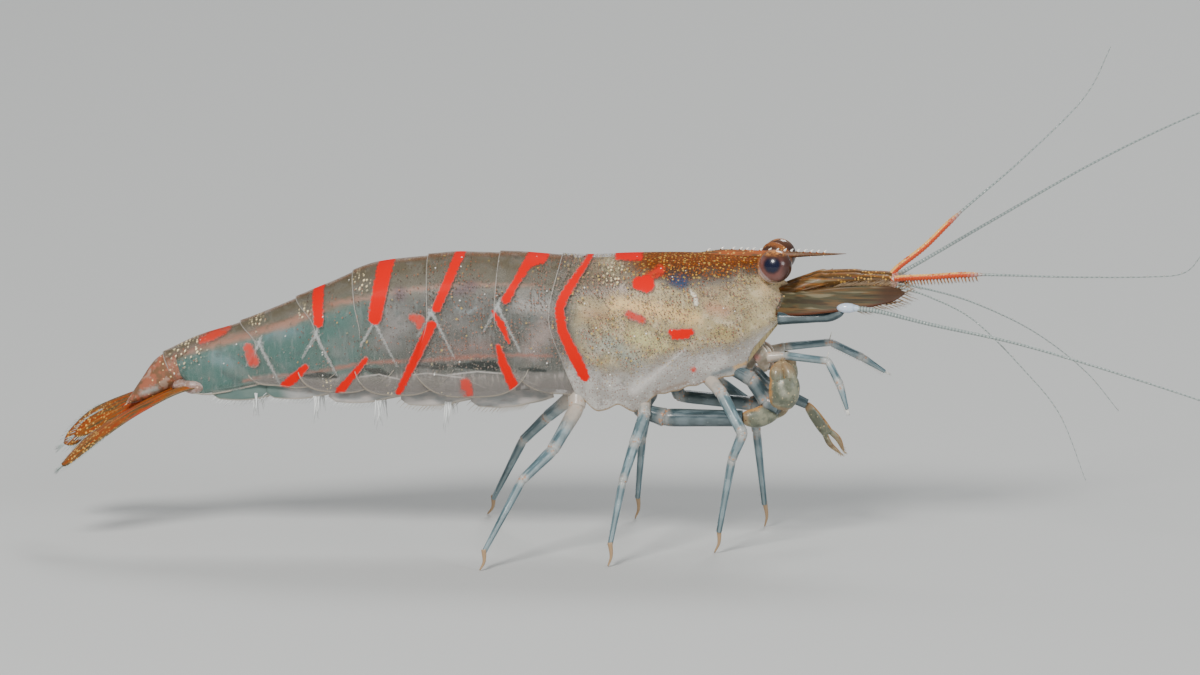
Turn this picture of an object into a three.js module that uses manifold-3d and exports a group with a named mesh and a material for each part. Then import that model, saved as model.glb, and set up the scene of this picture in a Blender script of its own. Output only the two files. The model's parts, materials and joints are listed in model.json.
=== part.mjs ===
// A freshwater dwarf shrimp, life size, standing on its six walking legs.
// Millimetres, +Z up. The head points along +X, and the animal's right side faces -Y.
// The body is one lofted form parted into carapace, six abdominal segments and telson; limbs, feelers
// and fins are lofted or swept along curves and then cut clear of the body and of each other.
import * as THREE from "three";
import { mergeVertices } from "three/addons/utils/BufferGeometryUtils.js";
import Module from "manifold-3d";

const wasm = await Module();
wasm.setup();

// ---- driving dimensions ----
const GAP = 0.05; // clear space left between neighbouring pieces
const FEELER_RADIUS = 0.26; // every feeler is drawn at its least solid thickness
const FEELER_SIDES = 6;
const LIMB_SIDES = 8;
const BLADE_SIDES = 8;
const BARREL_SIDES = 10; // telson and mouthparts
const FLAP_THICKNESS = 0.5; // side wall of the carapace and of each pleuron
const STERNUM_RISE = 0.95; // how far the belly lies above the lower edge of the side walls
const WIDEST = 0.45; // height of the widest place, as a share of the depth from the back
const LOWER_TUCK = 0.22; // how far the lower edge turns in, as a share of the half width
const BACK_ROUNDNESS = 2.2; // exponent of the rounded back
const BLADE_THICKNESS = 0.5; // tail blades, swimmerets and antennal scales
const THINNEST_FLOOR = 0.1; // half width that the belly never gets narrower than
const STERNUM_WIDTH = 0.8; // half width of the belly, as a share of the hollow between the side walls
const FLOOR_SINK = 0.3; // how far a toe is drawn past the floor before it is trimmed flat
const FLOOR_BLOCK = { length: 80, width: 40, depth: 4 }; // what the toes are trimmed against

const EYE = { x: 8.1, y: 1.32, z: 11.57, radius: 0.66, across: 0.92, around: 12, down: 8 };
const ROSTRUM = { base: 5.0, tip: 10.85, tipTop: 11.88, depth: 0.46, tipDepth: 0.24, width: 0.4 };
const ROSTRUM_STEPS = 6;
// Half the rostrum's outline across: [share of its half width, share of its depth below the crest].
const ROSTRUM_SECTION = [[0.4, 0], [1, 0.4], [0.8, 1]];
const ROSTRUM_TAPER = 0.55; // how much narrower its tip is than its base
const CREST_HEIGHT = 0.2; // the rostrum's crest stands this much above the carapace
// Each length of a limb is narrowest just past its joint and widest near its far end.
const LENGTH_START = { share: 0.04, swell: 0.92 };
const LENGTH_END = { share: 0.85, swell: 1.08 };

// Back line, lower edge and half width, each as height or width against x, from head to tail.
const BACK = curve([
  [8.4, 11.65], [7.5, 11.79], [5.0, 11.84], [2.4, 11.77], [0.4, 11.66], [-2.4, 11.75], [-4.4, 11.74],
  [-5.9, 11.59], [-7.9, 11.28], [-10.0, 10.36], [-13.4, 8.82], [-15.0, 8.27], [-16.5, 7.52],
]);
const LOWER_EDGE = curve([
  [8.6, 8.6], [7.3, 7.54], [6.4, 7.12], [4.6, 6.66], [3.1, 6.16], [2.4, 5.79], [1.1, 5.77], [0.3, 6.25],
  [-0.6, 6.34], [-3.0, 6.21], [-5.8, 6.13], [-8.6, 6.17], [-11.0, 6.31], [-12.0, 6.42], [-13.0, 6.3],
  [-14.0, 6.08], [-15.0, 5.92], [-15.6, 5.95], [-16.5, 6.3],
]);
const HALF_WIDTH = curve([
  [8.6, 0.95], [7.4, 1.2], [6.4, 1.7], [4.8, 2.05], [2.6, 2.2], [0, 2.15], [-3.0, 2.0], [-6.0, 1.9],
  [-8.5, 1.72], [-11.0, 1.45], [-13.2, 1.12], [-15.0, 0.92], [-16.5, 0.75],
]);

// Where one shell plate ends and the next begins: x against the share of the depth below the back.
const MARGINS = [
  curve([
    [0, 7.5], [0.12, 7.35], [0.3, 8.0], [0.5, 8.6], [0.62, 8.6], [0.7, 8.35], [0.76, 7.75], [0.86, 7.15],
    [1, 6.9],
  ]),
  curve([[0, -0.5], [0.4, -0.92], [0.75, -0.35], [1, 0.2]]),
  curve([[0, -3.0], [0.4, -3.1], [0.7, -2.6], [1, -2.2]]),
  curve([[0, -5.88], [0.4, -5.8], [0.7, -6.2], [1, -6.5]]),
  curve([[0, -8.88], [0.4, -8.1], [0.7, -8.5], [1, -9.1]]),
  curve([[0, -11.16], [0.4, -10.3], [0.7, -10.8], [1, -11.4]]),
  curve([[0, -13.4], [0.4, -12.7], [0.7, -12.9], [1, -13.3]]),
  curve([[0, -16.5], [0.5, -16.2], [1, -15.6]]),
];
const PLATE_NAMES = ["carapace", ...[1, 2, 3, 4, 5, 6].map((n) => `abdomen_${n}`)];
const PLATE_STEPS = [12, 4, 4, 4, 4, 4, 4];
// Shares of the depth at which every outline has a point, so that neighbouring plates meet facet to facet.
const FLANK_STEPS = [0, 0.025, 0.11, 0.25, 0.4, 0.52, 0.62, 0.7, 0.78, 0.88, 1];

// ---- small tools ----

// A smooth curve through a few [u, value] points, as a function of u.
function curve(points) {
  const sorted = [...points].sort((a, b) => a[0] - b[0]);
  const slope = (i, j) => (sorted[j][1] - sorted[i][1]) / (sorted[j][0] - sorted[i][0]);
  const tangents = sorted.map((_, i) => {
    if (i === 0) return slope(0, 1);
    if (i === sorted.length - 1) return slope(i - 1, i);
    const before = slope(i - 1, i);
    const after = slope(i, i + 1);
    return before * after <= 0 ? 0 : (2 * before * after) / (before + after);
  });
  return (u) => {
    const last = sorted.length - 1;
    if (u <= sorted[0][0]) return sorted[0][1];
    if (u >= sorted[last][0]) return sorted[last][1];
    const i = sorted.findIndex((p, k) => k < last && u <= sorted[k + 1][0]);
    const span = sorted[i + 1][0] - sorted[i][0];
    const t = (u - sorted[i][0]) / span;
    const rise = sorted[i + 1][1] - sorted[i][1];
    const startBend = tangents[i] * span;
    const endBend = tangents[i + 1] * span;
    const cubic = startBend + endBend - 2 * rise;
    const square = 3 * rise - 2 * startBend - endBend;
    return sorted[i][1] + t * (startBend + t * (square + t * cubic));
  };
}

const lerp = THREE.MathUtils.lerp;
const point = (p) => new THREE.Vector3(...p);

// A closed geometry as a solid.
function solidOf(geometry) {
  const bare = geometry.clone();
  bare.deleteAttribute("normal");
  bare.deleteAttribute("uv");
  const merged = mergeVertices(bare, 1e-4);
  return new wasm.Manifold(
    new wasm.Mesh({
      numProp: 3,
      vertProperties: merged.attributes.position.array,
      triVerts: new Uint32Array(merged.index.array),
    }),
  );
}

// A solid as a geometry with flat-shaded faces.
function geometryOf(solid) {
  const mesh = solid.getMesh();
  const geometry = new THREE.BufferGeometry();
  geometry.setAttribute("position", new THREE.BufferAttribute(new Float32Array(mesh.vertProperties), 3));
  geometry.setIndex(new THREE.BufferAttribute(new Uint32Array(mesh.triVerts), 1));
  const flat = geometry.toNonIndexed();
  flat.computeVertexNormals();
  return flat;
}

const largestOf = (solid) =>
  solid.decompose().reduce((best, one) => (one.volume() > best.volume() ? one : best));

function boxesMeet(one, other) {
  const a = one.boundingBox();
  const b = other.boundingBox();
  return [0, 1, 2].every((axis) => a.min[axis] < b.max[axis] && b.min[axis] < a.max[axis]);
}

// A closed solid through rings of points that all have the same count. Each end is filled with the
// triangles that `fill` gives for it.
function loft(rings, fill = fanOf) {
  const count = rings[0].length;
  const vertices = rings.flat().flatMap((p) => [p.x, p.y, p.z]);
  const faces = [];
  for (let r = 0; r < rings.length - 1; r++) {
    for (let k = 0; k < count; k++) {
      const a = r * count + k;
      const b = r * count + ((k + 1) % count);
      faces.push(a, b, b + count, a, b + count, a + count);
    }
  }
  const ends = [
    [rings[0], 0, false],
    [rings[rings.length - 1], (rings.length - 1) * count, true],
  ];
  for (const [ring, first, forward] of ends) {
    for (const [a, b, c] of fill(ring)) {
      faces.push(first + a, first + (forward ? b : c), first + (forward ? c : b));
    }
  }
  const geometry = new THREE.BufferGeometry();
  geometry.setAttribute("position", new THREE.Float32BufferAttribute(vertices, 3));
  geometry.setIndex(faces);
  const solid = solidOf(geometry);
  if (solid.volume() > 0) return solid;
  for (let i = 0; i < faces.length; i += 3) [faces[i + 1], faces[i + 2]] = [faces[i + 2], faces[i + 1]];
  geometry.setIndex(faces);
  return solidOf(geometry);
}

// Fills a ring that bulges everywhere.
function fanOf(ring) {
  return ring.slice(2).map((_, i) => [0, i + 1, i + 2]);
}

// Fills a ring of any shape, seen along the body.
function sectionFill(ring) {
  const outline = ring.map((p) => new THREE.Vector2(p.y, p.z));
  const faces = THREE.ShapeUtils.triangulateShape(outline, []);
  return THREE.ShapeUtils.isClockWise(outline) ? faces.map(([a, b, c]) => [a, c, b]) : faces;
}

// Rings of an ellipse along a path: `wide` and `deep` are the half axes at each point, and `across`
// is the direction of the wide one.
function sweepRings(path, wide, deep, across, sides) {
  return path.map((p, i) => {
    const ahead = path[Math.min(i + 1, path.length - 1)].clone().sub(p).normalize();
    const behind = p.clone().sub(path[Math.max(i - 1, 0)]).normalize();
    const along = ahead.add(behind).normalize();
    const side = across.clone().addScaledVector(along, -across.dot(along)).normalize();
    const up = new THREE.Vector3().crossVectors(along, side);
    return Array.from({ length: sides }, (_, k) => {
      const angle = (2 * Math.PI * k) / sides;
      return p
        .clone()
        .addScaledVector(side, wide[i] * Math.cos(angle))
        .addScaledVector(up, deep[i] * Math.sin(angle));
    });
  });
}

// ---- body ----

// Half width at a place, as a share of the widest, `t` down from the back.
function flank(t) {
  if (t < WIDEST) return Math.pow(1 - Math.pow((WIDEST - t) / WIDEST, BACK_ROUNDNESS), 1 / BACK_ROUNDNESS);
  return 1 - LOWER_TUCK * Math.pow((t - WIDEST) / (1 - WIDEST), 2);
}

// One outline around the body: `place` is the share of the way from the rear margin to the front one.
function bodyRing(rear, front, place, grow) {
  const at = (t, half, lift = 0) => {
    const x = lerp(rear(t), front(t), place);
    const top = BACK(x) + grow;
    const bottom = LOWER_EDGE(x) - grow;
    return new THREE.Vector3(x, half(x), lerp(top, bottom, t) + lift);
  };
  const width = (t) => (x) => (HALF_WIDTH(x) + grow) * flank(t);
  const inner = (x) => Math.max(width(1)(x) - FLAP_THICKNESS - 2 * grow, THINNEST_FLOOR);
  const rise = STERNUM_RISE - 2 * grow;
  const right = FLANK_STEPS.map((t) => at(t, width(t)));
  right.push(at(1, inner), at(1, (x) => STERNUM_WIDTH * inner(x), rise));
  const left = right.slice(1).reverse();
  return [...right.map((p) => new THREE.Vector3(p.x, -p.y, p.z)), ...left];
}

function bodyPlate(index, grow) {
  const steps = PLATE_STEPS[index];
  const front = (t) => MARGINS[index](t) - GAP / 2 + grow;
  const rear = (t) => MARGINS[index + 1](t) + GAP / 2 - grow;
  const rings = Array.from({ length: steps + 1 }, (_, i) => bodyRing(rear, front, i / steps, grow));
  return loft(rings, sectionFill);
}

function telson(grow) {
  const path = [[-16.1, 0, 7.1], [-16.7, 0, 6.62], [-17.3, 0, 6.1], [-17.95, 0, 5.55]].map(point);
  const wide = [0.72, 0.62, 0.5, 0.32].map((r) => r + grow);
  const deep = [0.56, 0.46, 0.34, 0.25].map((r) => r + grow);
  return loft(sweepRings(path, wide, deep, new THREE.Vector3(0, 1, 0), BARREL_SIDES));
}

// The rostrum is a narrow blade that rises as a crest from the carapace and runs out over the eyes.
function rostrum(grow) {
  const right = ROSTRUM_SECTION.map(([across, drop]) => [across, -drop]);
  const left = right.map(([across, drop]) => [-across, drop]).reverse();
  const rings = Array.from({ length: ROSTRUM_STEPS + 1 }, (_, i) => {
    const share = i / ROSTRUM_STEPS;
    const x = lerp(ROSTRUM.base, ROSTRUM.tip, share);
    const top = lerp(BACK(ROSTRUM.base) + CREST_HEIGHT, ROSTRUM.tipTop, share) + grow;
    const depth = lerp(ROSTRUM.depth, ROSTRUM.tipDepth, Math.pow(share, 1.5)) + 2 * grow;
    const half = (ROSTRUM.width / 2) * (1 - ROSTRUM_TAPER * Math.pow(share, 2)) + grow;
    return [...right, ...left].map(([across, drop]) => new THREE.Vector3(x, across * half, top + drop * depth));
  });
  return loft(rings);
}

function mouthparts(grow) {
  const path = [[7.1, 0, 8.6], [7.25, 0, 8.2], [7.4, 0, 7.7], [7.5, 0, 7.25], [7.55, 0, 7.05]].map(point);
  const wide = [0.35, 0.62, 0.72, 0.55, 0.25].map((r) => r + grow);
  const deep = [0.3, 0.48, 0.52, 0.42, 0.2].map((r) => r + grow);
  return loft(sweepRings(path, wide, deep, new THREE.Vector3(0, 1, 0), BARREL_SIDES));
}

// ---- eyes ----

function eye(side, grow) {
  const ball = new THREE.SphereGeometry(EYE.radius + grow, EYE.around, EYE.down);
  ball.scale(1, EYE.across, 1);
  ball.translate(EYE.x, side * EYE.y, EYE.z);
  return solidOf(ball);
}

function eyestalk(side, grow) {
  const path = [[7.7, side * 0.42, 11.25], [7.85, side * 0.75, 11.35], [8.0, side * 1.1, 11.48]].map(point);
  const radii = [0.36, 0.42, 0.5].map((r) => r + grow);
  return loft(sweepRings(path, radii, radii, new THREE.Vector3(0, 0, 1), LIMB_SIDES));
}

// ---- limbs and feelers ----

// A jointed limb: straight lengths between its joints, a little narrower at each joint than past it.
function limb(joints, radii, grow) {
  const path = [];
  const half = [];
  for (let i = 0; i < joints.length - 1; i++) {
    const from = point(joints[i]);
    const to = point(joints[i + 1]);
    for (const { share, swell } of [LENGTH_START, LENGTH_END]) {
      path.push(from.clone().lerp(to, share));
      half.push(lerp(radii[i], radii[i + 1], share) * swell + grow);
    }
  }
  path.push(point(joints[joints.length - 1]));
  half.push(radii[radii.length - 1] + grow);
  return loft(sweepRings(path, half, half, new THREE.Vector3(0, 1, 0.3), LIMB_SIDES));
}

// A feeler: a round tube of even thickness along a smooth curve.
function feeler(points, steps, grow) {
  const radius = FEELER_RADIUS + grow;
  const section = new THREE.Shape(
    Array.from({ length: FEELER_SIDES }, (_, k) => {
      const angle = (2 * Math.PI * k) / FEELER_SIDES;
      return new THREE.Vector2(radius * Math.cos(angle), radius * Math.sin(angle));
    }),
  );
  const extrudePath = new THREE.CatmullRomCurve3(points.map(point), false, "centripetal");
  return solidOf(new THREE.ExtrudeGeometry(section, { steps, extrudePath, bevelEnabled: false }));
}

// A thin blade along a spine, such as a tail blade, swimmeret or antennal scale.
function blade(spine, halves, across, grow) {
  const thick = halves.map(() => BLADE_THICKNESS / 2 + grow);
  const wide = halves.map((r) => r + grow);
  return loft(sweepRings(spine.map(point), wide, thick, point(across), BLADE_SIDES));
}

// Everything below the floor is taken off, so a toe ends in a small flat.
function trimToFloor(solid, height) {
  const block = new THREE.BoxGeometry(FLOOR_BLOCK.length, FLOOR_BLOCK.width, FLOOR_BLOCK.depth);
  block.translate(0, 0, height - FLOOR_BLOCK.depth / 2);
  return solid.subtract(solidOf(block));
}

// Legs, each from its first joint under the carapace to its toe. Third, fourth and fifth pairs walk.
const TOE_RADIUS = 0.25;
const LEG_RADII = [0.34, 0.3, 0.3, 0.26, 0.25, TOE_RADIUS];
const WALKING_LEGS = {
  leg_3_R: [[5.2, -1, 7.2], [6, -1.95, 6.5], [6.9, -2.9, 5.05], [6.45, -2.6, 3.95], [5.9, -2, 0.9]],
  leg_4_R: [[2.85, -1, 6.45], [2.9, -1.9, 5.55], [2.6, -3.3, 4.65], [2.2, -4.3, 3.3], [1.75, -5, 0.85]],
  leg_5_R: [[0.2, -1, 6.9], [0.2, -1.7, 5.8], [-0.65, -3.6, 4.4], [-1.8, -4.6, 3.35], [-3.2, -6.1, 0.7]],
  leg_3_L: [[4.85, 1, 7.25], [5.65, 2, 6.25], [6.9, 3.2, 5.1], [7.05, 3.5, 4], [7.35, 3.9, 0.95]],
  leg_4_L: [[2.7, 1, 6.45], [2.75, 1.9, 5.55], [2.65, 3.4, 4.85], [2.4, 4.4, 3.55], [2.15, 5.3, 0.9]],
  leg_5_L: [[0.1, 1, 6.9], [-0.15, 1.8, 5.7], [-1.35, 3.5, 4.5], [-2.4, 4.5, 3.35], [-3.7, 5.8, 0.7]],
};
const TOES = {
  leg_3_R: [5.65, -1.8], leg_4_R: [1.65, -5.15], leg_5_R: [-3.4, -6.4],
  leg_3_L: [7.35, 4.05], leg_4_L: [2, 5.5], leg_5_L: [-4.05, 6.05],
};

// Pincer limbs, each from its root to the tip of its hand, with the half width at each joint.
const CHELIPEDS = {
  cheliped_1_R: [
    [6.6, -0.95, 7.2], [7.1, -1.15, 6.85], [7.75, -1.25, 6.2], [8.3, -1.55, 6.1], [8.55, -1.6, 6.9],
    [8.45, -1.3, 7.7],
  ],
  cheliped_2_R: [
    [3.3, -0.85, 6.5], [2.6, -1.3, 5.55], [3.7, -1.5, 5.4], [6.7, -1.5, 5.45], [7.65, -1.3, 5.6],
    [8.65, -0.75, 6.1],
  ],
  cheliped_1_L: [
    [6.45, 0.95, 7.2], [6.95, 1.15, 6.85], [7.65, 1.25, 6.2], [8.1, 1.45, 6.1], [8.4, 1.4, 6.9],
    [8.45, 1.1, 7.7],
  ],
  cheliped_2_L: [
    [3.75, 0.9, 6.45], [4.1, 1.6, 5.75], [6.9, 2, 5.4], [8.2, 2, 5.85], [9.15, 2.05, 5.4],
    [9.9, 2.25, 4.3], [10.55, 2.4, 3.4],
  ],
};
const CHELIPED_RADII = {
  cheliped_1_R: [0.3, 0.34, 0.34, 0.38, 0.6, 0.26],
  cheliped_2_R: [0.3, 0.32, 0.36, 0.36, 0.42, 0.26],
  cheliped_1_L: [0.3, 0.34, 0.34, 0.4, 0.5, 0.26],
  cheliped_2_L: [0.3, 0.34, 0.34, 0.32, 0.3, 0.28, 0.25],
};
const MAXILLIPEDS = {
  maxilliped_R: [
    [7.75, -0.65, 7.75], [8.45, -0.75, 7.85], [10.2, -1.3, 7.75], [10.7, -1.6, 6.85], [11, -1.8, 5.9],
  ],
  maxilliped_L: [
    [7.65, 0.65, 7.75], [8.35, 0.75, 7.95], [10.15, 1.3, 8.05], [11.4, 1.6, 7.4], [12.3, 1.8, 6.8],
  ],
};
const MAXILLIPED_RADII = [0.3, 0.27, 0.26, 0.26, 0.25];

// Feelers, each as the places its curve passes through.
const FEELERS = {
  antennule_outer_R: [
    [12.8, -0.55, 11.1], [14.3, -0.8, 11.15], [16.1, -1.2, 11.3], [19.8, -2.1, 11.4], [23.05, -3, 11.6],
    [24.5, -3.35, 11.85], [25.25, -3.6, 12.7],
  ],
  antennule_inner_R: [
    [12.8, -0.3, 10.5], [14.2, -0.75, 10.3], [16.05, -1.8, 9.55], [18.1, -2.6, 7.7], [19.55, -3.1, 6],
    [20.6, -3.5, 3.45],
  ],
  antennule_outer_L: [
    [12.75, 0.55, 11.3], [13.95, 1, 12.05], [15.25, 1.4, 13.3], [17.75, 2.3, 15.4], [20.15, 3.2, 17.75],
    [21.2, 3.7, 19.75],
  ],
  antennule_inner_L: [
    [12.75, 0.3, 10.6], [13.95, 0.85, 10.35], [15.8, 1.8, 9.65], [18.15, 2.8, 8.35], [20.2, 3.7, 6.6],
    [21.55, 4.1, 4.9],
  ],
  antenna_R: [
    [11.4, -1.15, 9.9], [14.35, -2, 9.4], [18.15, -3.2, 8.8], [23.2, -5, 7.65], [28.05, -7, 6.45],
    [32.25, -9.6, 5.6], [34.95, -12.2, 5.2],
  ],
  antenna_L: [
    [11.25, 1.15, 9.9], [13.1, 1.9, 10.9], [16.6, 3.2, 12.8], [20.7, 5, 14.95], [24.6, 6.8, 16.6],
    [28.45, 9, 17.75], [31.75, 11.6, 18.3],
  ],
};
const FEELER_STEPS = {
  antennule_outer_R: 15, antennule_inner_R: 14, antennule_outer_L: 14, antennule_inner_L: 14,
  antenna_R: 22, antenna_L: 22,
};

function antennulePeduncle(side, grow) {
  const y = side * 0.42;
  const joints = [[8.85, y, 10.4], [10.05, y, 10.78], [11.55, y, 10.84], [12.65, y, 10.8]];
  return limb(joints, [0.34, 0.34, 0.3, 0.3], grow);
}

function antennalScale(side, grow) {
  const spine = [
    [8.85, side * 1.1, 10.02], [9.7, side * 1.3, 10.1], [10.9, side * 1.42, 10.22],
    [12.1, side * 1.4, 10.34], [12.9, side * 1.32, 10.45], [13.25, side * 1.26, 10.5],
  ];
  return blade(spine, [0.42, 0.6, 0.62, 0.5, 0.34, 0.2], [0, side * 0.85, -0.53], grow);
}

function antennaBase(side, grow) {
  const joints = [[8.8, side * 0.95, 9.38], [10.4, side * 1.1, 9.48], [11.3, side * 1.15, 9.78]];
  return limb(joints, [0.36, 0.32, 0.28], grow);
}

// ---- swimmerets and tail fan ----

const SWIMMERET_PLACES = [-1.6, -4.4, -7.3, -9.8, -12.0];
const SWIMMERET_SPREAD = [0.72, 0.72, 0.66, 0.56, 0.45];
// A swimmeret's spine, from root to tip: how far back of its place and how far below the belly.
const SWIMMERET_SPINE = [[-0.9, 0.3], [-0.2, 0.5], [0.6, 0.8], [1.5, 1.05]];

// A leaf that hangs from the belly and leans back.
function swimmeret(index, side, grow) {
  const x = SWIMMERET_PLACES[index];
  const y = side * SWIMMERET_SPREAD[index];
  const top = LOWER_EDGE(x) + STERNUM_RISE;
  const spine = SWIMMERET_SPINE.map(([back, drop]) => [x - back, y, top - drop]);
  return blade(spine, [0.25, 0.42, 0.46, 0.25], [-0.3, 0, 1], grow);
}

const TAIL_BLADES = {
  uropod_outer: {
    spine: [
      [-15.85, 0.62, 6.1], [-16.6, 0.8, 5.85], [-18, 1.2, 5.2], [-19.4, 1.6, 4.4], [-20.65, 1.9, 3.45],
    ],
    halves: [0.26, 0.34, 0.6, 0.66, 0.3],
  },
  uropod_inner: {
    spine: [
      [-16.5, 0.28, 5.85], [-17.3, 0.38, 5.55], [-18.4, 0.62, 4.95], [-19.4, 0.86, 4.3], [-20.15, 1, 3.75],
    ],
    halves: [0.25, 0.28, 0.42, 0.44, 0.25],
  },
};
// The right half of the fan hangs lower at its tip than the left one, and reaches less far back.
const TAIL_DROP = { R: 0.2, L: -0.2 };
const TAIL_REACH = { R: -0.25, L: 0 };
const TAIL_ROOT = -15.85;
const TAIL_LENGTH = 4.65;

function tailBlade(kind, letter, grow) {
  const side = letter === "R" ? -1 : 1;
  const spine = TAIL_BLADES[kind].spine.map(([x, y, z]) => {
    const along = Math.min(Math.max((TAIL_ROOT - x) / TAIL_LENGTH, 0), 1);
    return [x - TAIL_REACH[letter] * along * along, side * y, z - TAIL_DROP[letter] * along * along];
  });
  return blade(spine, TAIL_BLADES[kind].halves, [0, side, -0.25], grow);
}

// ---- materials ----

const finish = (color, roughness) => new THREE.MeshStandardMaterial({ color, roughness, metalness: 0 });
const SHELL = finish(0xb9b09c, 0.35);
const TAIL_SHELL = finish(0x93a9a4, 0.35);
const TAIL_FAN = finish(0xc0662c, 0.4);
const HEAD_SHELL = finish(0x8f6138, 0.4);
const LIMB_SHELL = finish(0xaab9bd, 0.35);
const PALE_FLESH = finish(0xc7bda8, 0.5);
const FEELER_SHELL = finish(0x8ea79b, 0.45);
const RED_FEELER = finish(0xc4562a, 0.45);
const EYE_BALL = finish(0x3a2530, 0.12);
const EYE_STALK = finish(0xb58a5c, 0.4);

// ---- the animal ----

const SIDES = [["R", -1], ["L", 1]];

// Pieces in the order they are fitted: each is cut clear of all that come before it.
function pieceList() {
  const list = PLATE_NAMES.map((name, i) => ({
    name,
    material: i < 4 ? SHELL : TAIL_SHELL,
    build: (grow) => bodyPlate(i, grow),
  }));
  const add = (name, material, build) => list.push({ name, material, build });
  add("rostrum", HEAD_SHELL, rostrum);
  add("telson", TAIL_FAN, telson);
  for (const [letter, side] of SIDES) {
    add(`eye_${letter}`, EYE_BALL, (grow) => eye(side, grow));
    add(`eyestalk_${letter}`, EYE_STALK, (grow) => eyestalk(side, grow));
    add(`antennule_base_${letter}`, HEAD_SHELL, (grow) => antennulePeduncle(side, grow));
    add(`antenna_base_${letter}`, LIMB_SHELL, (grow) => antennaBase(side, grow));
    add(`antenna_scale_${letter}`, HEAD_SHELL, (grow) => antennalScale(side, grow));
  }
  add("mouthparts", PALE_FLESH, mouthparts);
  for (const [name, joints] of Object.entries(MAXILLIPEDS)) {
    add(name, LIMB_SHELL, (grow) => limb(joints, MAXILLIPED_RADII, grow));
  }
  for (const [name, joints] of Object.entries(WALKING_LEGS)) {
    const whole = [...joints, [...TOES[name], -FLOOR_SINK]];
    add(name, LIMB_SHELL, (grow) => trimToFloor(limb(whole, LEG_RADII, grow), -grow));
  }
  for (const [name, joints] of Object.entries(CHELIPEDS)) {
    add(name, LIMB_SHELL, (grow) => limb(joints, CHELIPED_RADII[name], grow));
  }
  for (const [name, points] of Object.entries(FEELERS)) {
    const material = name.startsWith("antennule_outer") ? RED_FEELER : FEELER_SHELL;
    add(name, material, (grow) => feeler(points, FEELER_STEPS[name], grow));
  }
  for (const kind of Object.keys(TAIL_BLADES)) {
    for (const [letter] of SIDES) add(`${kind}_${letter}`, TAIL_FAN, (grow) => tailBlade(kind, letter, grow));
  }
  SWIMMERET_PLACES.forEach((_, i) => {
    for (const [letter, side] of SIDES) {
      add(`pleopod_${i + 1}_${letter}`, TAIL_SHELL, (grow) => swimmeret(i, side, grow));
    }
  });
  return list;
}

function fitted() {
  const shrimp = new THREE.Group();
  const placed = [];
  for (const { name, material, build } of pieceList()) {
    let solid = build(0);
    if (!PLATE_NAMES.includes(name)) {
      for (const neighbour of placed) {
        if (boxesMeet(solid, neighbour)) solid = solid.subtract(neighbour);
      }
    }
    placed.push(build(GAP));
    const mesh = new THREE.Mesh(geometryOf(largestOf(solid)), material);
    mesh.name = name;
    shrimp.add(mesh);
  }
  return shrimp;
}

// The origin is under the middle of the whole animal, at floor level.
const model = fitted();
const bounds = new THREE.Box3().setFromObject(model);
const middle = bounds.getCenter(new THREE.Vector3());
model.position.set(-middle.x, -middle.y, -bounds.min.z);

export default model;
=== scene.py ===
"""A freshwater dwarf shrimp, life size: glassy shell plates over its flesh, limbs, feelers and tail fan."""

import json
import math
import random

import bpy
import numpy as np
from bpy.props import FloatProperty, FloatVectorProperty, IntProperty, PointerProperty
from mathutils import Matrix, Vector


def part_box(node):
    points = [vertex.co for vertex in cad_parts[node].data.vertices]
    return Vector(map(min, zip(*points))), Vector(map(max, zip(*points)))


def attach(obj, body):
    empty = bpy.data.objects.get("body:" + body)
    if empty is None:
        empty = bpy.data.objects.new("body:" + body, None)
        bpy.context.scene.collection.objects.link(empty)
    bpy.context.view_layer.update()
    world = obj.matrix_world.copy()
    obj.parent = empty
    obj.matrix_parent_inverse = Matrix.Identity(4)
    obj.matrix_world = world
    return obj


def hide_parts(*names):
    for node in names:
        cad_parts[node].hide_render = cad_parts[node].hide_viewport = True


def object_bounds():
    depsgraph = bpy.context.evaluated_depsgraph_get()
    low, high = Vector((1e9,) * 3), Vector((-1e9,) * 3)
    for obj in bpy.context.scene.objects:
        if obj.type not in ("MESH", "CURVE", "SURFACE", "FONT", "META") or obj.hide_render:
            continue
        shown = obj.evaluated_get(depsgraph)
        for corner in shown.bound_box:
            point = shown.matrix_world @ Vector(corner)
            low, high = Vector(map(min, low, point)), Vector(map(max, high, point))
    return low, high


bl_info = {
    "name": "Dwarf shrimp",
    "version": (1, 0, 0),
    "blender": (4, 5, 0),
    "location": "View3D > Sidebar > Shrimp",
    "description": "Builds the shell, flesh, limbs, feelers and tail fan of a freshwater dwarf shrimp",
    "category": "Add Mesh",
}

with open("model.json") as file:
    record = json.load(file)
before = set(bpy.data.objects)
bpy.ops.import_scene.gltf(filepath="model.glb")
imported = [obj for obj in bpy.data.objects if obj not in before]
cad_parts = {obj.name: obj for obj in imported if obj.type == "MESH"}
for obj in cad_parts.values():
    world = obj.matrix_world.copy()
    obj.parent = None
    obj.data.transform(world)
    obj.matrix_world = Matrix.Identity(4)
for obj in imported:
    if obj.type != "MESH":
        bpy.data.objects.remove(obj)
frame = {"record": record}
CAD_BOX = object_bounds()

MM = 0.001
CARAPACE_FRONT = 8.575  # the carapace's foremost edge, along the body's own X axis, in millimetres
_low, _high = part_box("carapace")
# Where the body's own axes start: X runs along the body, Y = 0 is its middle plane, Z = 0 is the floor.
ORIGIN = Vector((_high.x - CARAPACE_FRONT * MM, (_low.y + _high.y) / 2, 0.0))
RIGHT, LEFT = -1, 1
SIDES = {"R": RIGHT, "L": LEFT}
HAIR_PATCH = 0.003  # side of the square that a hair's face takes up on its UV map


# ---- curves ----


def lerp(a, b, t):
    return a + (b - a) * t


def ramp(value, low, high):
    """0 below low and 1 above high, with a smooth rise between them."""
    t = min(max((value - low) / (high - low), 0.0), 1.0)
    return t * t * (3 - 2 * t)


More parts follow.
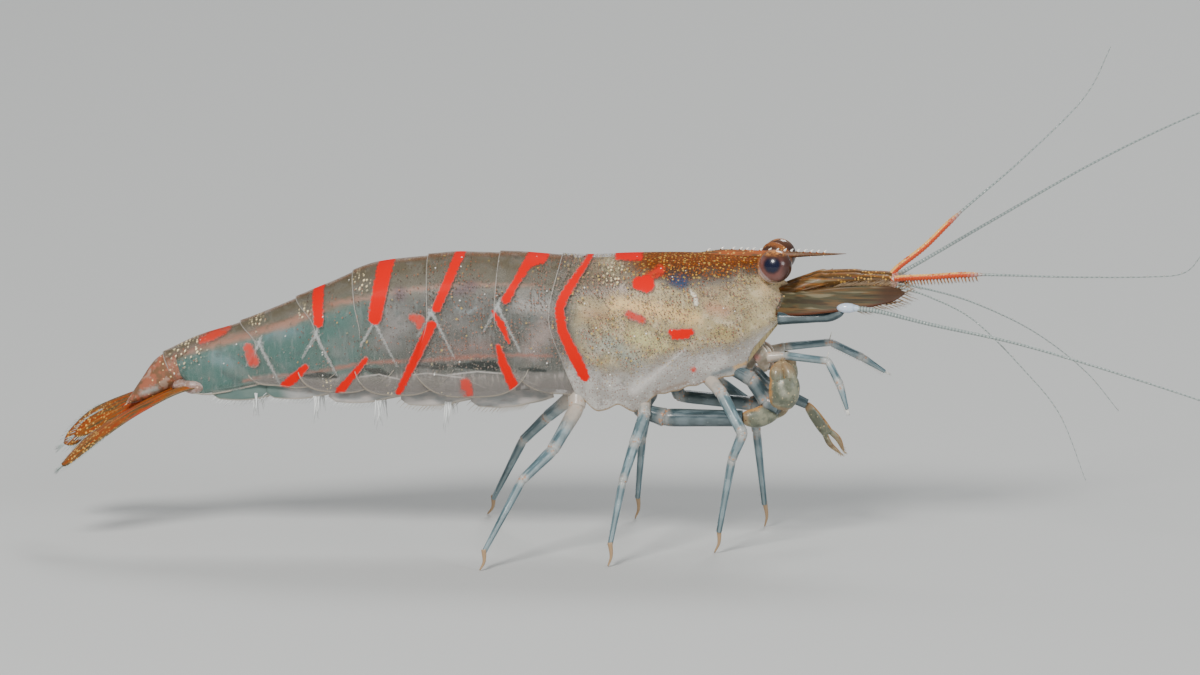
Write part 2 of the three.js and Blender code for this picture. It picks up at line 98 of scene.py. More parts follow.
def curve(*knots):
    """A smooth curve through (u, value) knots, as a function of u."""
    knots = sorted(knots)
    places = [k[0] for k in knots]
    values = [k[1] for k in knots]
    last = len(knots) - 1
    slopes = [(values[i + 1] - values[i]) / (places[i + 1] - places[i]) for i in range(last)]
    bends = [slopes[0]]
    for before, after in zip(slopes, slopes[1:]):
        bends.append(0.0 if before * after <= 0 else 2 * before * after / (before + after))
    bends.append(slopes[-1])

    def value_at(u):
        if u <= places[0]:
            return values[0]
        if u >= places[-1]:
            return values[-1]
        i = next(k for k in range(last) if u <= places[k + 1])
        span = places[i + 1] - places[i]
        t = (u - places[i]) / span
        rise = values[i + 1] - values[i]
        start, end = bends[i] * span, bends[i + 1] * span
        return values[i] + t * (start + t * (3 * rise - 2 * start - end + t * (start + end - 2 * rise)))

    return value_at


def shares(count):
    """Evenly spaced numbers from 0 to 1."""
    return [k / (count - 1) for k in range(count)]


def sampled(course, count):
    """The values of a curve at evenly spaced shares."""
    return [course(share) for share in shares(count)]


def evenly(points, count):
    """The same line with evenly spaced points."""
    line = np.array(points, dtype=float)
    steps = np.linalg.norm(np.diff(line, axis=0), axis=1)
    run = np.concatenate([[0.0], np.cumsum(steps)])
    wanted = np.linspace(0.0, run[-1], count)
    return [Vector(p) for p in np.stack([np.interp(wanted, run, line[:, k]) for k in range(3)], axis=1)]


def smooth_path(points, count):
    """A smooth line through the points, evenly spaced."""
    knots = [Vector(p) for p in points]
    row = [knots[0] * 2 - knots[1], *knots, knots[-1] * 2 - knots[-2]]
    fine = []
    per_span = 16
    for a, b, c, d in zip(row, row[1:], row[2:], row[3:]):
        for k in range(per_span):
            t = k / per_span
            bend = (2 * a - 5 * b + 4 * c - d) * t**2 + (3 * b - 3 * c + d - a) * t**3
            fine.append(0.5 * (2 * b + (c - a) * t + bend))
    fine.append(knots[-1])
    return evenly(fine, count)


def directions(path):
    """The line's direction at each of its points."""
    found = []
    for i, _ in enumerate(path):
        ahead = path[min(i + 1, len(path) - 1)] - path[max(i - 1, 0)]
        found.append(ahead.normalized())
    return found


def frames_along(path, across):
    """Two directions square to the line at each point, the first nearest to `across` at the start."""
    side = Vector(across)
    found = []
    for along in directions(path):
        side = (side - along * side.dot(along)).normalized()
        found.append((side, along.cross(side)))
    return found


# ---- the body's form, in millimetres: height or width against x, from head to tail ----

BACK = curve(
    (8.4, 11.65), (7.5, 11.79), (5.0, 11.84), (2.4, 11.77), (0.4, 11.66), (-2.4, 11.75), (-4.4, 11.74),
    (-5.9, 11.59), (-7.9, 11.28), (-10.0, 10.36), (-13.4, 8.82), (-15.0, 8.27), (-16.5, 7.52),
)
LOWER_EDGE = curve(
    (8.6, 8.6), (7.3, 7.54), (6.4, 7.12), (4.6, 6.66), (3.1, 6.16), (2.4, 5.79), (1.1, 5.77), (0.3, 6.25),
    (-0.6, 6.34), (-3.0, 6.21), (-5.8, 6.13), (-8.6, 6.17), (-11.0, 6.31), (-12.0, 6.42), (-13.0, 6.3),
    (-14.0, 6.08), (-15.0, 5.92), (-15.6, 5.95), (-16.5, 6.3),
)
HALF_WIDTH = curve(
    (8.6, 0.95), (7.4, 1.2), (6.4, 1.7), (4.8, 2.05), (2.6, 2.2), (0, 2.15), (-3.0, 2.0), (-6.0, 1.9),
    (-8.5, 1.72), (-11.0, 1.45), (-13.2, 1.12), (-15.0, 0.92), (-16.5, 0.75),
)
# The plates' edges, from the carapace's front edge to the last segment's rear edge: x against the share of
# the depth below the back. Each one between two plates lies over the plate behind it.
MARGINS = [
    curve(
        (0, 7.5), (0.12, 7.35), (0.3, 8.0), (0.5, 8.6), (0.62, 8.6), (0.7, 8.35), (0.76, 7.75), (0.86, 7.15),
        (1, 6.9),
    ),
    curve((0, -0.5), (0.4, -0.92), (0.75, -0.35), (1, 0.2)),
    curve((0, -3.0), (0.4, -3.1), (0.7, -2.6), (1, -2.2)),
    curve((0, -5.88), (0.4, -5.8), (0.7, -6.2), (1, -6.5)),
    curve((0, -8.88), (0.25, -8.72), (0.5, -8.5), (0.7, -8.58), (1, -9.1)),
    curve((0, -11.16), (0.4, -10.3), (0.7, -10.8), (1, -11.4)),
    curve((0, -13.4), (0.4, -12.7), (0.7, -12.9), (1, -13.3)),
    curve((0, -16.5), (0.5, -16.2), (1, -15.6)),
]
# How far a plate runs on forward under the plate in front of it, against the same share.
UNDERLAP = curve((0, 0.45), (0.25, 0.3), (0.4, 0.12), (0.6, 0.75), (0.83, 1.6), (1, 1.4))
FLESH_REACH = 0.965  # share of the depth to which the flesh's side flaps hang
# The middle of the flesh's face, and how large each ring of the face is, as a share of the first.
FACE = Vector((8.72, 0, 10.15))
FACE_RINGS = (0.97, 0.9, 0.78, 0.6, 0.4, 0.2)
# The belly between the flaps: share of the half width against share of the depth.
BELLY = [(0.84, 0.955), (0.8, 0.9), (0.7, 0.84), (0.4, 0.81), (0, 0.8)]
# The spines of the carapace's front edge: (share of the depth, length).
FACE_SPINES = [(0.27, 0.42), (0.72, 0.25)]
# The lobes of the carapace's lower edge: (x, half length, drop).
SKIRT_LOBES = [(0.95, 0.42, 0.1), (1.85, 0.3, -0.2), (2.65, 0.4, 0.16), (3.4, 0.25, -0.12)]
WIDEST = 0.45  # height of the widest place, as a share of the depth from the back
LOWER_TUCK = 0.22
BACK_ROUNDNESS = 2.2
PLATES = ["carapace", *(f"abdomen_{n}" for n in range(1, 7))]
# Places in PLATES. The saddle lies over both of its neighbours.
CARAPACE, SADDLE, LAST_OF_FRONT, LAST = 0, 2, 3, 6


def flank(t):
    """Half width at a share of the depth, as a share of the widest."""
    if t < WIDEST:
        return (1 - ((WIDEST - t) / WIDEST) ** BACK_ROUNDNESS) ** (1 / BACK_ROUNDNESS)
    return 1 - LOWER_TUCK * ((t - WIDEST) / (1 - WIDEST)) ** 2


def depth_share(s):
    """Share of the depth for a share s of the way round from the back, so that points lie evenly."""
    if s < 0.5:
        return WIDEST * (1 - math.cos(math.pi * s))
    return lerp(WIDEST, 1.0, 2 * s - 1)


def on_flank(x, t, side):
    """A place on the outside of the body."""
    return (x, side * HALF_WIDTH(x) * flank(t), lerp(BACK(x), LOWER_EDGE(x), t))


# ---- making pieces ----


class Form:
    """Points, faces and marks of one piece, in millimetres along the body's own axes."""

    def __init__(self):
        self.points = []
        self.faces = []
        self.finishes = []
        self.marks = {}
        self.patches = []

    def add(self, points, faces, marks=None, finish=0):
        start = len(self.points)
        self.points.extend(points)
        self.faces.extend(tuple(start + i for i in face) for face in faces)
        self.finishes.extend([finish] * len(faces))
        for name, values in (marks or {}).items():
            self.mark(name, start, values)

    def mark(self, name, start, values):
        """Marks the points from `start` on; points before it that have no mark get 0."""
        column = self.marks.setdefault(name, [])
        column.extend([0.0] * (start - len(column)) + list(values))

    def rings(self, rings, marks=None, finish=0):
        """A closed skin through rings that have the same count of points, with a point at each end."""
        count = len(rings[0])
        points = [p for ring in rings for p in ring]
        faces = []
        for r in range(len(rings) - 1):
            for k in range(count):
                a, b = r * count + k, r * count + (k + 1) % count
                faces.append((a, b, b + count, a + count))
        first, last = len(points), len(points) + 1
        points.append(sum((Vector(p) for p in rings[0]), Vector()) / count)
        points.append(sum((Vector(p) for p in rings[-1]), Vector()) / count)
        end = (len(rings) - 1) * count
        for k in range(count):
            faces.append((first, (k + 1) % count, k))
            faces.append((last, end + k, end + (k + 1) % count))
        spread = {}
        for name, values in (marks or {}).items():
            spread[name] = [v for v in values for _ in range(count)] + [values[0], values[-1]]
        self.add(points, faces, spread, finish)

    def tube(self, path, wide, deep=None, across=(0, 1, 0), sides=12, marks=None, finish=0):
        """A tube of ellipses along a line. `wide` and `deep` are the half axes at each point."""
        deep = deep or wide
        turns = [2 * math.pi * k / sides for k in range(sides)]
        rings = []
        for p, w, d, (side, up) in zip(path, wide, deep, frames_along(path, across)):
            rings.append([p + side * (w * math.cos(a)) + up * (d * math.sin(a)) for a in turns])
        start = len(self.points)
        self.rings(rings, marks, finish)
        self.mark("round", start, [math.cos(a) for _ in path for a in turns] + [0.0, 0.0])

    def spike(self, root, reach, radii, sides=8, bend=(0, 0, 0)):
        """A round spike with a half width for each of its rings, straight or bent towards its tip."""
        path = [Vector(root) + Vector(reach) * s + Vector(bend) * s * s for s in shares(len(radii))]
        self.tube(path, radii, sides=sides)

    def ball(self, centre, radii, sides=16, marks=None, finish=0):
        """A rounded knob with three half axes along X, Y and Z."""
        rows = sides // 2
        rings = []
        for r in range(1, rows):
            fall = math.pi * r / rows
            ring = []
            for k in range(sides):
                turn = 2 * math.pi * k / sides
                out = (math.sin(fall) * math.cos(turn), math.sin(fall) * math.sin(turn), -math.cos(fall))
                ring.append(Vector(centre) + Vector([r_ * o for r_, o in zip(radii, out)]))
            rings.append(ring)
        spread = {name: [value] * (rows - 1) for name, value in (marks or {}).items()}
        self.rings(rings, spread, finish)
        pole = Vector((0, 0, radii[2]))
        self.points[-2:] = [Vector(centre) - pole, Vector(centre) + pole]

    def wall(self, outer, inner, marks):
        """A thin closed wall between two grids of places."""
        rows, columns = outer.shape[:2]
        points = [tuple(p) for p in outer.reshape(-1, 3)] + [tuple(p) for p in inner.reshape(-1, 3)]
        back = rows * columns
        faces = []
        for i in range(rows - 1):
            for j in range(columns - 1):
                a = i * columns + j
                faces.append((a, a + 1, a + columns + 1, a + columns))
                faces.append((back + a, back + a + columns, back + a + columns + 1, back + a + 1))
        at = np.arange(back).reshape(rows, columns)
        rim = np.concatenate([at[0], at[1:, -1], at[-1, -2::-1], at[-2:0:-1, 0]]).tolist()
        for a, b in zip(rim, rim[1:] + rim[:1]):
            faces.append((b, a, back + a, back + b))
        self.add(points, faces, {name: values * 2 for name, values in marks.items()})

    def hair(self, root, way, length, radius, droop=(0, 0, 0), patch=(0.5, 0.5), finish=0):
        """One hair of three sides that tapers to a point and bends once."""
        root, way = Vector(root), Vector(way).normalized()
        aside = way.orthogonal().normalized()
        over = way.cross(aside)
        middle = root + way * (length * 0.55) + Vector(droop) * (length * 0.2)
        tip = root + way * length + Vector(droop) * length
        points = []
        for centre, size in ((root, radius), (middle, radius * 0.7)):
            for k in range(3):
                turn = 2 * math.pi * k / 3
                points.append(centre + aside * (size * math.cos(turn)) + over * (size * math.sin(turn)))
        points.append(tip)
        faces = [(0, 2, 1), (3, 4, 6), (4, 5, 6), (5, 3, 6)]
        faces += [(0, 1, 4, 3), (1, 2, 5, 4), (2, 0, 3, 5)]
        self.patches.extend([patch] * len(faces))
        self.add(points, faces, None, finish)

    def piece(self, name, finishes, slot, *nodes):
        """Makes the object, in the place of the named CAD nodes. A piece that is all hairs gets a UV map."""
        mesh = bpy.data.meshes.new(name)
        places = np.array([tuple(p) for p in self.points]) * MM + np.array(ORIGIN)
        mesh.from_pydata(places.tolist(), [], self.faces)
        for mark, column in self.marks.items():
            self.mark(mark, len(self.points), [])
            mesh.attributes.new(mark, "FLOAT", "POINT").data.foreach_set("value", column)
        for finish in finishes:
            mesh.materials.append(finish)
        mesh.polygons.foreach_set("material_index", self.finishes)
        if len(self.patches) == len(self.faces):
            unwrap = mesh.uv_layers.new(name="OFBake")
            corners = [(0, 0), (HAIR_PATCH, 0), (HAIR_PATCH, HAIR_PATCH), (0, HAIR_PATCH)]
            spots = []
            for polygon, (u, v) in zip(mesh.polygons, self.patches):
                for across, up in corners[: polygon.loop_total]:
                    spots.extend((u + across, v + up))
            unwrap.data.foreach_set("uv", spots)
        mesh.shade_smooth()
        mesh.update()
        made = add_object(name, mesh)
        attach(made, "root")
        if nodes:
            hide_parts(*nodes)


def mirrored(places, side):
    """Places given for the left side, on the side asked for."""
    return [(x, side * y, z) for x, y, z in places]


def add_object(name, data):
    made = bpy.data.objects.new(name, data)
    bpy.context.scene.collection.objects.link(made)
    return made


def normals_of(grid):
    """Outward directions of a grid of places round the body."""
    along = np.gradient(grid, axis=0)
    round_ = np.gradient(grid, axis=1)
    normal = np.cross(along, round_)
    return normal / np.maximum(np.linalg.norm(normal, axis=2, keepdims=True), 1e-9)


def arc_lengths(grid):
    """Distance round the body from the middle of the back, in rows, for each place of a grid."""
    steps = np.linalg.norm(np.diff(grid, axis=1), axis=2)
    run = np.concatenate([np.zeros((grid.shape[0], 1)), np.cumsum(steps, axis=1)], axis=1)
    middle = grid.shape[1] // 2
    return (run - run[:, middle : middle + 1]).reshape(-1).tolist()


def leaf(form, spine, near, far, across, thick, rows=36, columns=12, dish=0.0):
    """A thin closed blade along a spine. `near` and `far` give its half widths at a share of its length.
    Returns its two edges, each as (place, way out, share)."""
    path = smooth_path(spine, rows + 1)
    length = sum((b - a).length for a, b in zip(path, path[1:]))
    turned = frames_along(path, across)
    above = np.zeros((rows + 1, columns + 1, 3))
    below = np.zeros_like(above)
    marks = {"along": [], "across": [], "share": []}
    edges = ([], [])
    for i, (p, (side, up)) in enumerate(zip(path, turned)):
        share = i / rows
        for j in range(columns + 1):
            c = -1 + 2 * j / columns
            reach = (near(share) if c < 0 else far(share)) * c
            place = p + side * reach + up * (dish * c * c)
            rise = up * (thick / 2 * (1 - 0.75 * c * c))
            above[i, j] = place + rise
            below[i, j] = place - rise
            marks["along"].append(share * length)
            marks["across"].append(c)
            marks["share"].append(share)
        edges[0].append((p - side * near(share) + up * dish, -side, share))
        edges[1].append((p + side * far(share) + up * dish, side, share))
    form.wall(above, below, marks)
    return edges


# A segment of a limb from its root to its tip: (share of its length, swelling).
SEGMENT = [
    (0.0, 0.84), (0.02, 0.92), (0.06, 0.96), (0.12, 0.99), (0.2, 1.0), (0.4, 0.98), (0.65, 0.97), (0.82, 1.0),
    (0.92, 1.03), (0.97, 1.03), (0.99, 0.97), (1.0, 0.88),
]
CLOUD_AFTER, CLOUD_BEFORE = 0.5, 0.55  # how far the pale cloud of a joint reaches, in millimetres


def limb(form, joints, radii, sides=14, finish=0, pale_roots=1):
    """Segments between joints: each starts inside the one before and ends in a faint rim. About the first
    `pale_roots` segments are marked as near the body."""
    run = 0.0
    for i in range(len(joints) - 1):
        a, b = Vector(joints[i]), Vector(joints[i + 1])
        length = (b - a).length
        tip = i == len(joints) - 2
        path, wide = [], []
        marks = {"joint": [], "along": [], "root": []}
        for share, swell in SEGMENT:
            taper = lerp(radii[i], radii[i + 1], share)
            path.append(a.lerp(b, share))
            wide.append(taper * (swell if not tip else lerp(swell, 0.9, share)))
            start, end = 1 - share * length / CLOUD_AFTER, 1 - (1 - share) * length / CLOUD_BEFORE
            marks["joint"].append(max(start, 0.0 if tip else end, 0.0))
            marks["along"].append(run + share * length)
            marks["root"].append(max(1 - max(i + share - pale_roots + 0.6, 0.0), 0.0))
        form.tube(path, wide, None, (0, 1, 0.3), sides, marks, finish)
        run += length
        if not tip:
            bulge = radii[i + 1] * 0.9
            at_joint = {"joint": 1.0, "along": run, "root": marks["root"][-1]}
            form.ball(b, (bulge, bulge * 0.95, bulge), 12, at_joint, finish)


# ---- finishes ----


class Paint:
    """A material made up layer by layer: a colour and an opacity, each covered by the next layer."""

    def __init__(
        self, name, colour, opacity, roughness, coat=0.0, coat_roughness=0.05, sheet=False, specular=0.5
    ):
        """`sheet` is for thin walls and skins that have an "around" mark: their dots are flat."""
        self.material = bpy.data.materials.new(name)
        self.material.use_nodes = True
        self.tree = self.material.node_tree
        self.shader = self.tree.nodes["Principled BSDF"]
        self.shader.inputs["Roughness"].default_value = roughness
        self.shader.inputs["Coat Weight"].default_value = coat
        self.shader.inputs["Coat Roughness"].default_value = coat_roughness
        self.shader.inputs["Specular IOR Level"].default_value = specular
        self.colour = (*colour, 1.0)
        self.opacity = opacity
        self.sheet = sheet
        self._place = None
        self._shaken = {}

    def node(self, kind, inputs=None, **settings):
        made = self.tree.nodes.new("ShaderNode" + kind)
        for name, value in settings.items():
            setattr(made, name, value)
        for name, value in (inputs or {}).items():
            self.put(made.inputs[name], value)
        return made

    def put(self, socket, value):
        """Links another node's output to the socket, or sets the socket to a value."""
        if isinstance(value, bpy.types.NodeSocket):
            self.tree.links.new(value, socket)
        else:
            socket.default_value = value

    @property
    def place(self):
        """Where the surface is, in millimetres along the body's own axes."""
        if self._place is None:
            where = self.node("TexCoord").outputs["Object"]
            shifted = self.vector("SUBTRACT", where, tuple(ORIGIN))
            self._place = self.vector("SCALE", shifted, scale=1 / MM)
        return self._place

    def vector(self, operation, a, b=None, scale=None):
        inputs = {k: v for k, v in ((0, a), (1, b), ("Scale", scale)) if v is not None}
        made = self.node("VectorMath", inputs, operation=operation)
        measured = ("DOT_PRODUCT", "LENGTH", "DISTANCE")
        return made.outputs["Value" if operation in measured else "Vector"]

    def number(self, operation, a, b=None, c=None):
        inputs = {k: v for k, v in enumerate((a, b, c)) if v is not None}
        return self.node("Math", inputs, operation=operation).outputs[0]

    def part(self, axis):
        return self.node("SeparateXYZ", {0: self.place}).outputs[axis]

    def mark(self, name):
        return self.node("Attribute", attribute_name=name).outputs["Fac"]

    def step(self, value, low, high):
        """0 where the value is at low and 1 where it is at high; low may be the greater."""
        inputs = {"Value": value, "From Min": low, "From Max": high}
        made = self.node("MapRange", inputs, interpolation_type="SMOOTHSTEP", clamp=False)
        return made.outputs["Result"]

    def roughened(self, value, grain, size):
        """The value, raised by up to `size` where the grain is high."""
        return self.number("MULTIPLY_ADD", grain, size, value)

    def times(self, *values):
        product = values[0]
        for value in values[1:]:
            product = self.number("MULTIPLY", product, value)
        return product

    def noise(self, size, detail=2.0, where=None, stretch=None, seed=0.0):
        """Cloudy values from 0 to 1 with patches of about the given size in millimetres."""
        vector = where or self.place
        if stretch:
            vector = self.vector("MULTIPLY", vector, stretch)
        if seed:
            vector = self.vector("ADD", vector, (seed, seed * 0.7, seed * 1.3))
        made = self.node("TexNoise", {"Vector": vector, "Scale": 1 / size, "Detail": detail})
        return made.outputs["Fac"]

    def dots(self, spacing, share, radius, soft=0.45, seed=0):
        """Round spots of about the given radius, one to a cell, in only a share of the cells."""
        if self.sheet:
            where = self.node("CombineXYZ", {0: self.part("X"), 1: self.mark("around")}).outputs[0]
        else:
            where = self.place
        vector = self.vector("ADD", where, (seed, seed * 0.6, seed * 1.7))
        kind = "2D" if self.sheet else "3D"
        cells = self.node("TexVoronoi", {"Vector": vector, "Scale": 1 / spacing}, voronoi_dimensions=kind)
        pick = self.node("SeparateColor", {0: cells.outputs["Color"]})
        reach = radius / spacing
        own_size = self.number("MULTIPLY_ADD", pick.outputs["Green"], reach * 0.8, reach * 0.6)
        inner = self.number("MULTIPLY", own_size, soft)
        spot = self.step(cells.outputs["Distance"], own_size, inner)
        return self.times(spot, self.number("LESS_THAN", pick.outputs["Red"], share))

    def shaken(self, ragged, grain):
        """The place seen from the side, moved about by up to `ragged` millimetres."""
        if (ragged, grain) not in self._shaken:
            flat = self.vector("MULTIPLY", self.place, (1, 0, 1))
            if ragged:
                shake = self.node("TexNoise", {"Vector": self.place, "Scale": 1 / grain, "Detail": 1.0})
                centred = self.vector("SUBTRACT", shake.outputs["Color"], (0.5, 0.5, 0.5))
                flat = self.vector("ADD", flat, self.vector("MULTIPLY", centred, (2 * ragged, 0, 2 * ragged)))
            self._shaken[ragged, grain] = flat
        return self._shaken[ragged, grain]

    def stroke_distance(self, strokes, ragged=0.0, grain=0.09):
        """How far the surface is outside the nearest of some strokes, in millimetres, seen from the side.
        A stroke is a list of (x, z, half width)."""
        flat = self.shaken(ragged, grain)
        nearest = None
        for stroke in strokes:
            ends = stroke if len(stroke) > 1 else [stroke[0], (stroke[0][0] + 0.01, *stroke[0][1:])]
            for (x0, z0, w0), (x1, z1, w1) in zip(ends, ends[1:]):
                inputs = {"Place": flat, "From": (x0, 0, z0), "To": (x1, 0, z1)}
                inputs.update({"Width From": w0, "Width To": w1})
                found = self.node("Group", inputs, node_tree=stroke_group()).outputs[0]
                nearest = found if nearest is None else self.number("MINIMUM", nearest, found)
        return nearest

    def strokes(self, strokes, soft=0.03, ragged=0.0, grain=0.09):
        return self.step(self.stroke_distance(strokes, ragged, grain), soft, -soft)

    def blend(self, share, a, b):
        made = self.node("Mix", data_type="RGBA", clamp_factor=True)
        for index, value in ((0, share), (6, a), (7, b)):  # the node's factor and its two colour inputs
            colour = index > 0 and not isinstance(value, bpy.types.NodeSocket)
            self.put(made.inputs[index], (*value[:3], 1.0) if colour else value)
        return made.outputs[2]

    def cover(self, mask, colour, strength=1.0, opacity=None):
        """Lays a colour over what is there, where the mask or all of several masks are 1. With an opacity,
        the surface is at least that solid under it."""
        if isinstance(mask, tuple):
            mask = self.times(*mask)
        share = mask if strength == 1.0 else self.number("MULTIPLY", mask, strength)
        self.colour = self.blend(share, self.colour, colour)
        if opacity is not None:
            self.opacity = self.number("MAXIMUM", self.opacity, self.number("MULTIPLY", mask, opacity))

    def lay(self, value, low, high, colour, strength=1.0, opacity=None):
        """Lays a colour over what is there: none of it where the value is at low, all where it is at high."""
        self.cover(self.step(value, low, high), colour, strength, opacity)

    def speckle(self, spacing, share, radius, colour, strength=1.0, opacity=None, seed=0):
        """Strews round spots of a colour over what is there."""
        self.cover(self.dots(spacing, share, radius, seed=seed), colour, strength, opacity)

    def thin(self, mask, opacity):
        """Makes the surface clearer where the mask is, down to the given opacity."""
        self.opacity = self.node("Mix", {0: mask, 2: self.opacity, 3: opacity}).outputs[0]

    def soft(self, weight, reach, tint=(1.0, 0.6, 0.45)):
        """Light goes into the surface and comes out again within `reach` millimetres."""
        self.shader.inputs["Subsurface Weight"].default_value = weight
        self.shader.inputs["Subsurface Radius"].default_value = tint
        self.shader.inputs["Subsurface Scale"].default_value = reach * MM

    def relief(self, height, depth, strength):
        """Fine relief, `depth` millimetres deep."""
        made = self.node("Bump", {"Height": height, "Distance": depth * MM, "Strength": strength})
        self.tree.links.new(made.outputs["Normal"], self.shader.inputs["Normal"])

    def done(self):
        self.put(self.shader.inputs["Base Color"], self.colour)
        self.put(self.shader.inputs["Alpha"], self.opacity)
        return self.material


def stroke_group():
    """Shared nodes: the distance from a place to a straight stroke, less the stroke's half width there."""
    name = "Distance to a stroke"
    if name in bpy.data.node_groups:
        return bpy.data.node_groups[name]
    group = bpy.data.node_groups.new(name, "ShaderNodeTree")
    given = {"Place": "Vector", "From": "Vector", "To": "Vector", "Width From": "Float", "Width To": "Float"}
    for label, kind in given.items():
        group.interface.new_socket(label, in_out="INPUT", socket_type="NodeSocket" + kind)
    group.interface.new_socket("Distance", in_out="OUTPUT", socket_type="NodeSocketFloat")
    given = group.nodes.new("NodeGroupInput").outputs

    def link(kind, operation, *inputs, out=0):
        made = group.nodes.new("ShaderNode" + kind)
        made.operation = operation
        for k, socket in enumerate(inputs):
            group.links.new(socket, made.inputs[k])
        return made.outputs[out]

    reach = link("VectorMath", "SUBTRACT", given["Place"], given["From"])
    whole = link("VectorMath", "SUBTRACT", given["To"], given["From"])
    run = link("VectorMath", "DOT_PRODUCT", reach, whole, out="Value")
    size = link("VectorMath", "DOT_PRODUCT", whole, whole, out="Value")
    share = link("Math", "DIVIDE", run, size)
    # A clamp or a change of socket type here would come last of all in the shader and fill its stack.
    for bound in ("MINIMUM", "MAXIMUM"):
        share = link("Math", bound, share)
        share.node.inputs[1].default_value = float(bound == "MINIMUM")
    foot = link("VectorMath", "SCALE", whole)
    group.links.new(share, foot.node.inputs["Scale"])
    apart = link("VectorMath", "DISTANCE", reach, foot, out="Value")
    wider = link("Math", "SUBTRACT", given["Width To"], given["Width From"])
    width = link("Math", "MULTIPLY_ADD", wider, share, given["Width From"])
    result = group.nodes.new("NodeGroupOutput").inputs[0]
    group.links.new(link("Math", "SUBTRACT", apart, width), result)
    return group


# ---- markings, each stroke a list of (x, z, half width) in millimetres, seen from the side ----

RED_BARS = [
    [
        (0.66, 11.75, 0.1), (0.02, 10.86, 0.17), (-0.3, 10.35, 0.19), (-0.48, 9.9, 0.18), (-0.35, 9.0, 0.2),
        (0.12, 8.0, 0.24), (0.52, 7.15, 0.22),
    ],
    [(1.75, 11.78, 0.14), (2.65, 11.74, 0.1)],
    [(2.66, 10.88, 0.24), (2.98, 10.86, 0.33)],
    [(3.98, 8.98, 0.12), (4.76, 8.98, 0.14)],
    [(4.12, 8.82, 0.14), (4.6, 8.86, 0.16)],
    [(-1.35, 11.8, 0.34), (-1.75, 11.6, 0.2), (-2.15, 11.0, 0.15), (-2.62, 10.2, 0.17)],
    [(-3.14, 9.72, 0.05), (-2.8, 9.2, 0.14), (-2.5, 8.5, 0.06)],
    [(-2.92, 8.3, 0.1), (-2.72, 7.6, 0.19), (-2.3, 6.6, 0.2)],
    [(-4.56, 11.8, 0.2), (-5.4, 9.8, 0.18)],
    [(-5.6, 9.1, 0.2), (-6.25, 7.75, 0.18), (-6.95, 6.3, 0.13)],
    [(-7.5, 11.5, 0.32), (-7.88, 9.35, 0.27)],
    [(-8.25, 7.65, 0.1), (-9.35, 6.25, 0.17)],
    [(-10.27, 10.6, 0.25), (-10.15, 9.1, 0.2)],
    [(-10.7, 7.25, 0.13), (-11.2, 6.75, 0.2), (-11.75, 6.25, 0.14)],
]
FAINT_RED = [
    [(2.3, 9.7, 0.15), (2.85, 9.48, 0.14)],
    [(3.0, 11.05, 0.16), (3.5, 11.35, 0.18)],
    [(4.86, 7.44, 0.1)],
    [(5.3, 6.85, 0.06)],
    [(-4.25, 6.75, 0.22), (-4.2, 6.4, 0.25)],
    [(-6.35, 9.4, 0.16), (-6.1, 9.3, 0.22), (-6.1, 9.0, 0.09)],
    [(-13.0, 7.95, 0.19), (-12.8, 7.42, 0.24)],
    [(-14.9, 8.14, 0.14), (-14.4, 8.36, 0.17), (-13.85, 8.6, 0.09)],
]
HINGES = [(-2.95, 9.92), (-5.6, 9.65), (-7.9, 9.2), (-10.26, 8.62), (-12.56, 8.18)]
GILT_PATCHES = [
    (-8.45, 10.7, 0.6), (-10.75, 9.45, 0.42), (-12.7, 8.95, 0.5), (-15.7, 7.8, 1.0), (-15.2, 8.0, 0.8),
    (1.7, 11.2, 0.8), (-9.8, 6.55, 0.35), (-7.3, 6.35, 0.35), (-5.1, 6.25, 0.3),
]
GUT_LINE = [
    [
        (-16.2, 7.55, 0.14), (-14.9, 7.98, 0.18), (-13, 8.5, 0.19), (-11.45, 8.95, 0.15), (-9.75, 9.76, 0.12),
        (-8.55, 10.05, 0.08), (-7.36, 10.32, 0.06), (-4.8, 10.69, 0.05), (-1.5, 10.75, 0.03),
    ]
]
ORGANS = [[(-6.9, 10.3, 0.24)], [(-4.6, 10.45, 0.16), (-4.0, 10.65, 0.2)]]
# Painted shade: dark strokes in the gaps between the muscle and the swimmerets' roots, with the pale outline
# of the lobe under each.
SLOT_SHADE = [
    [(-10.75, 6.85, 0.08), (-10.1, 6.9, 0.17), (-9.4, 6.88, 0.06)],
    [(-8.3, 7.22, 0.05), (-7.75, 7.13, 0.17), (-7.3, 7.02, 0.05)],
    [(-6.35, 7.4, 0.04), (-5.7, 7.42, 0.14), (-5.1, 7.4, 0.13)],
    [(-4.75, 7.42, 0.04), (-3.9, 7.47, 0.17), (-3.1, 7.46, 0.23)],
    [(-2.1, 7.36, 0.04), (-1.5, 7.34, 0.09), (-1.05, 7.3, 0.05)],
]
LOBE_LINES = [
    [(-10.7, 6.55, 0.02), (-10.1, 6.66, 0.02), (-9.4, 6.55, 0.02), (-8.9, 6.25, 0.02)],
    [(-8.75, 6.85, 0.02), (-7.75, 7.02, 0.02), (-6.75, 6.8, 0.02), (-6.35, 6.45, 0.02)],
    [(-6.6, 7.0, 0.02), (-5.8, 7.12, 0.02), (-4.4, 6.95, 0.02), (-3.5, 6.55, 0.02)],
    [(-5.0, 7.05, 0.02), (-3.8, 7.22, 0.02), (-2.7, 7.15, 0.02), (-1.4, 6.7, 0.02)],
]
MUSCLE_EDGE = [
    [
        (-13.2, 6.6, 0.05), (-10.3, 7.04, 0.06), (-8.16, 7.51, 0.07), (-5.98, 7.66, 0.06), (-3.0, 7.91, 0.06),
        (-0.8, 7.95, 0.04),
    ]
]
# Where the beige flesh of the front ends and the abdomen's begins, under the edge of the carapace.
FLESH_SEAM = -0.3
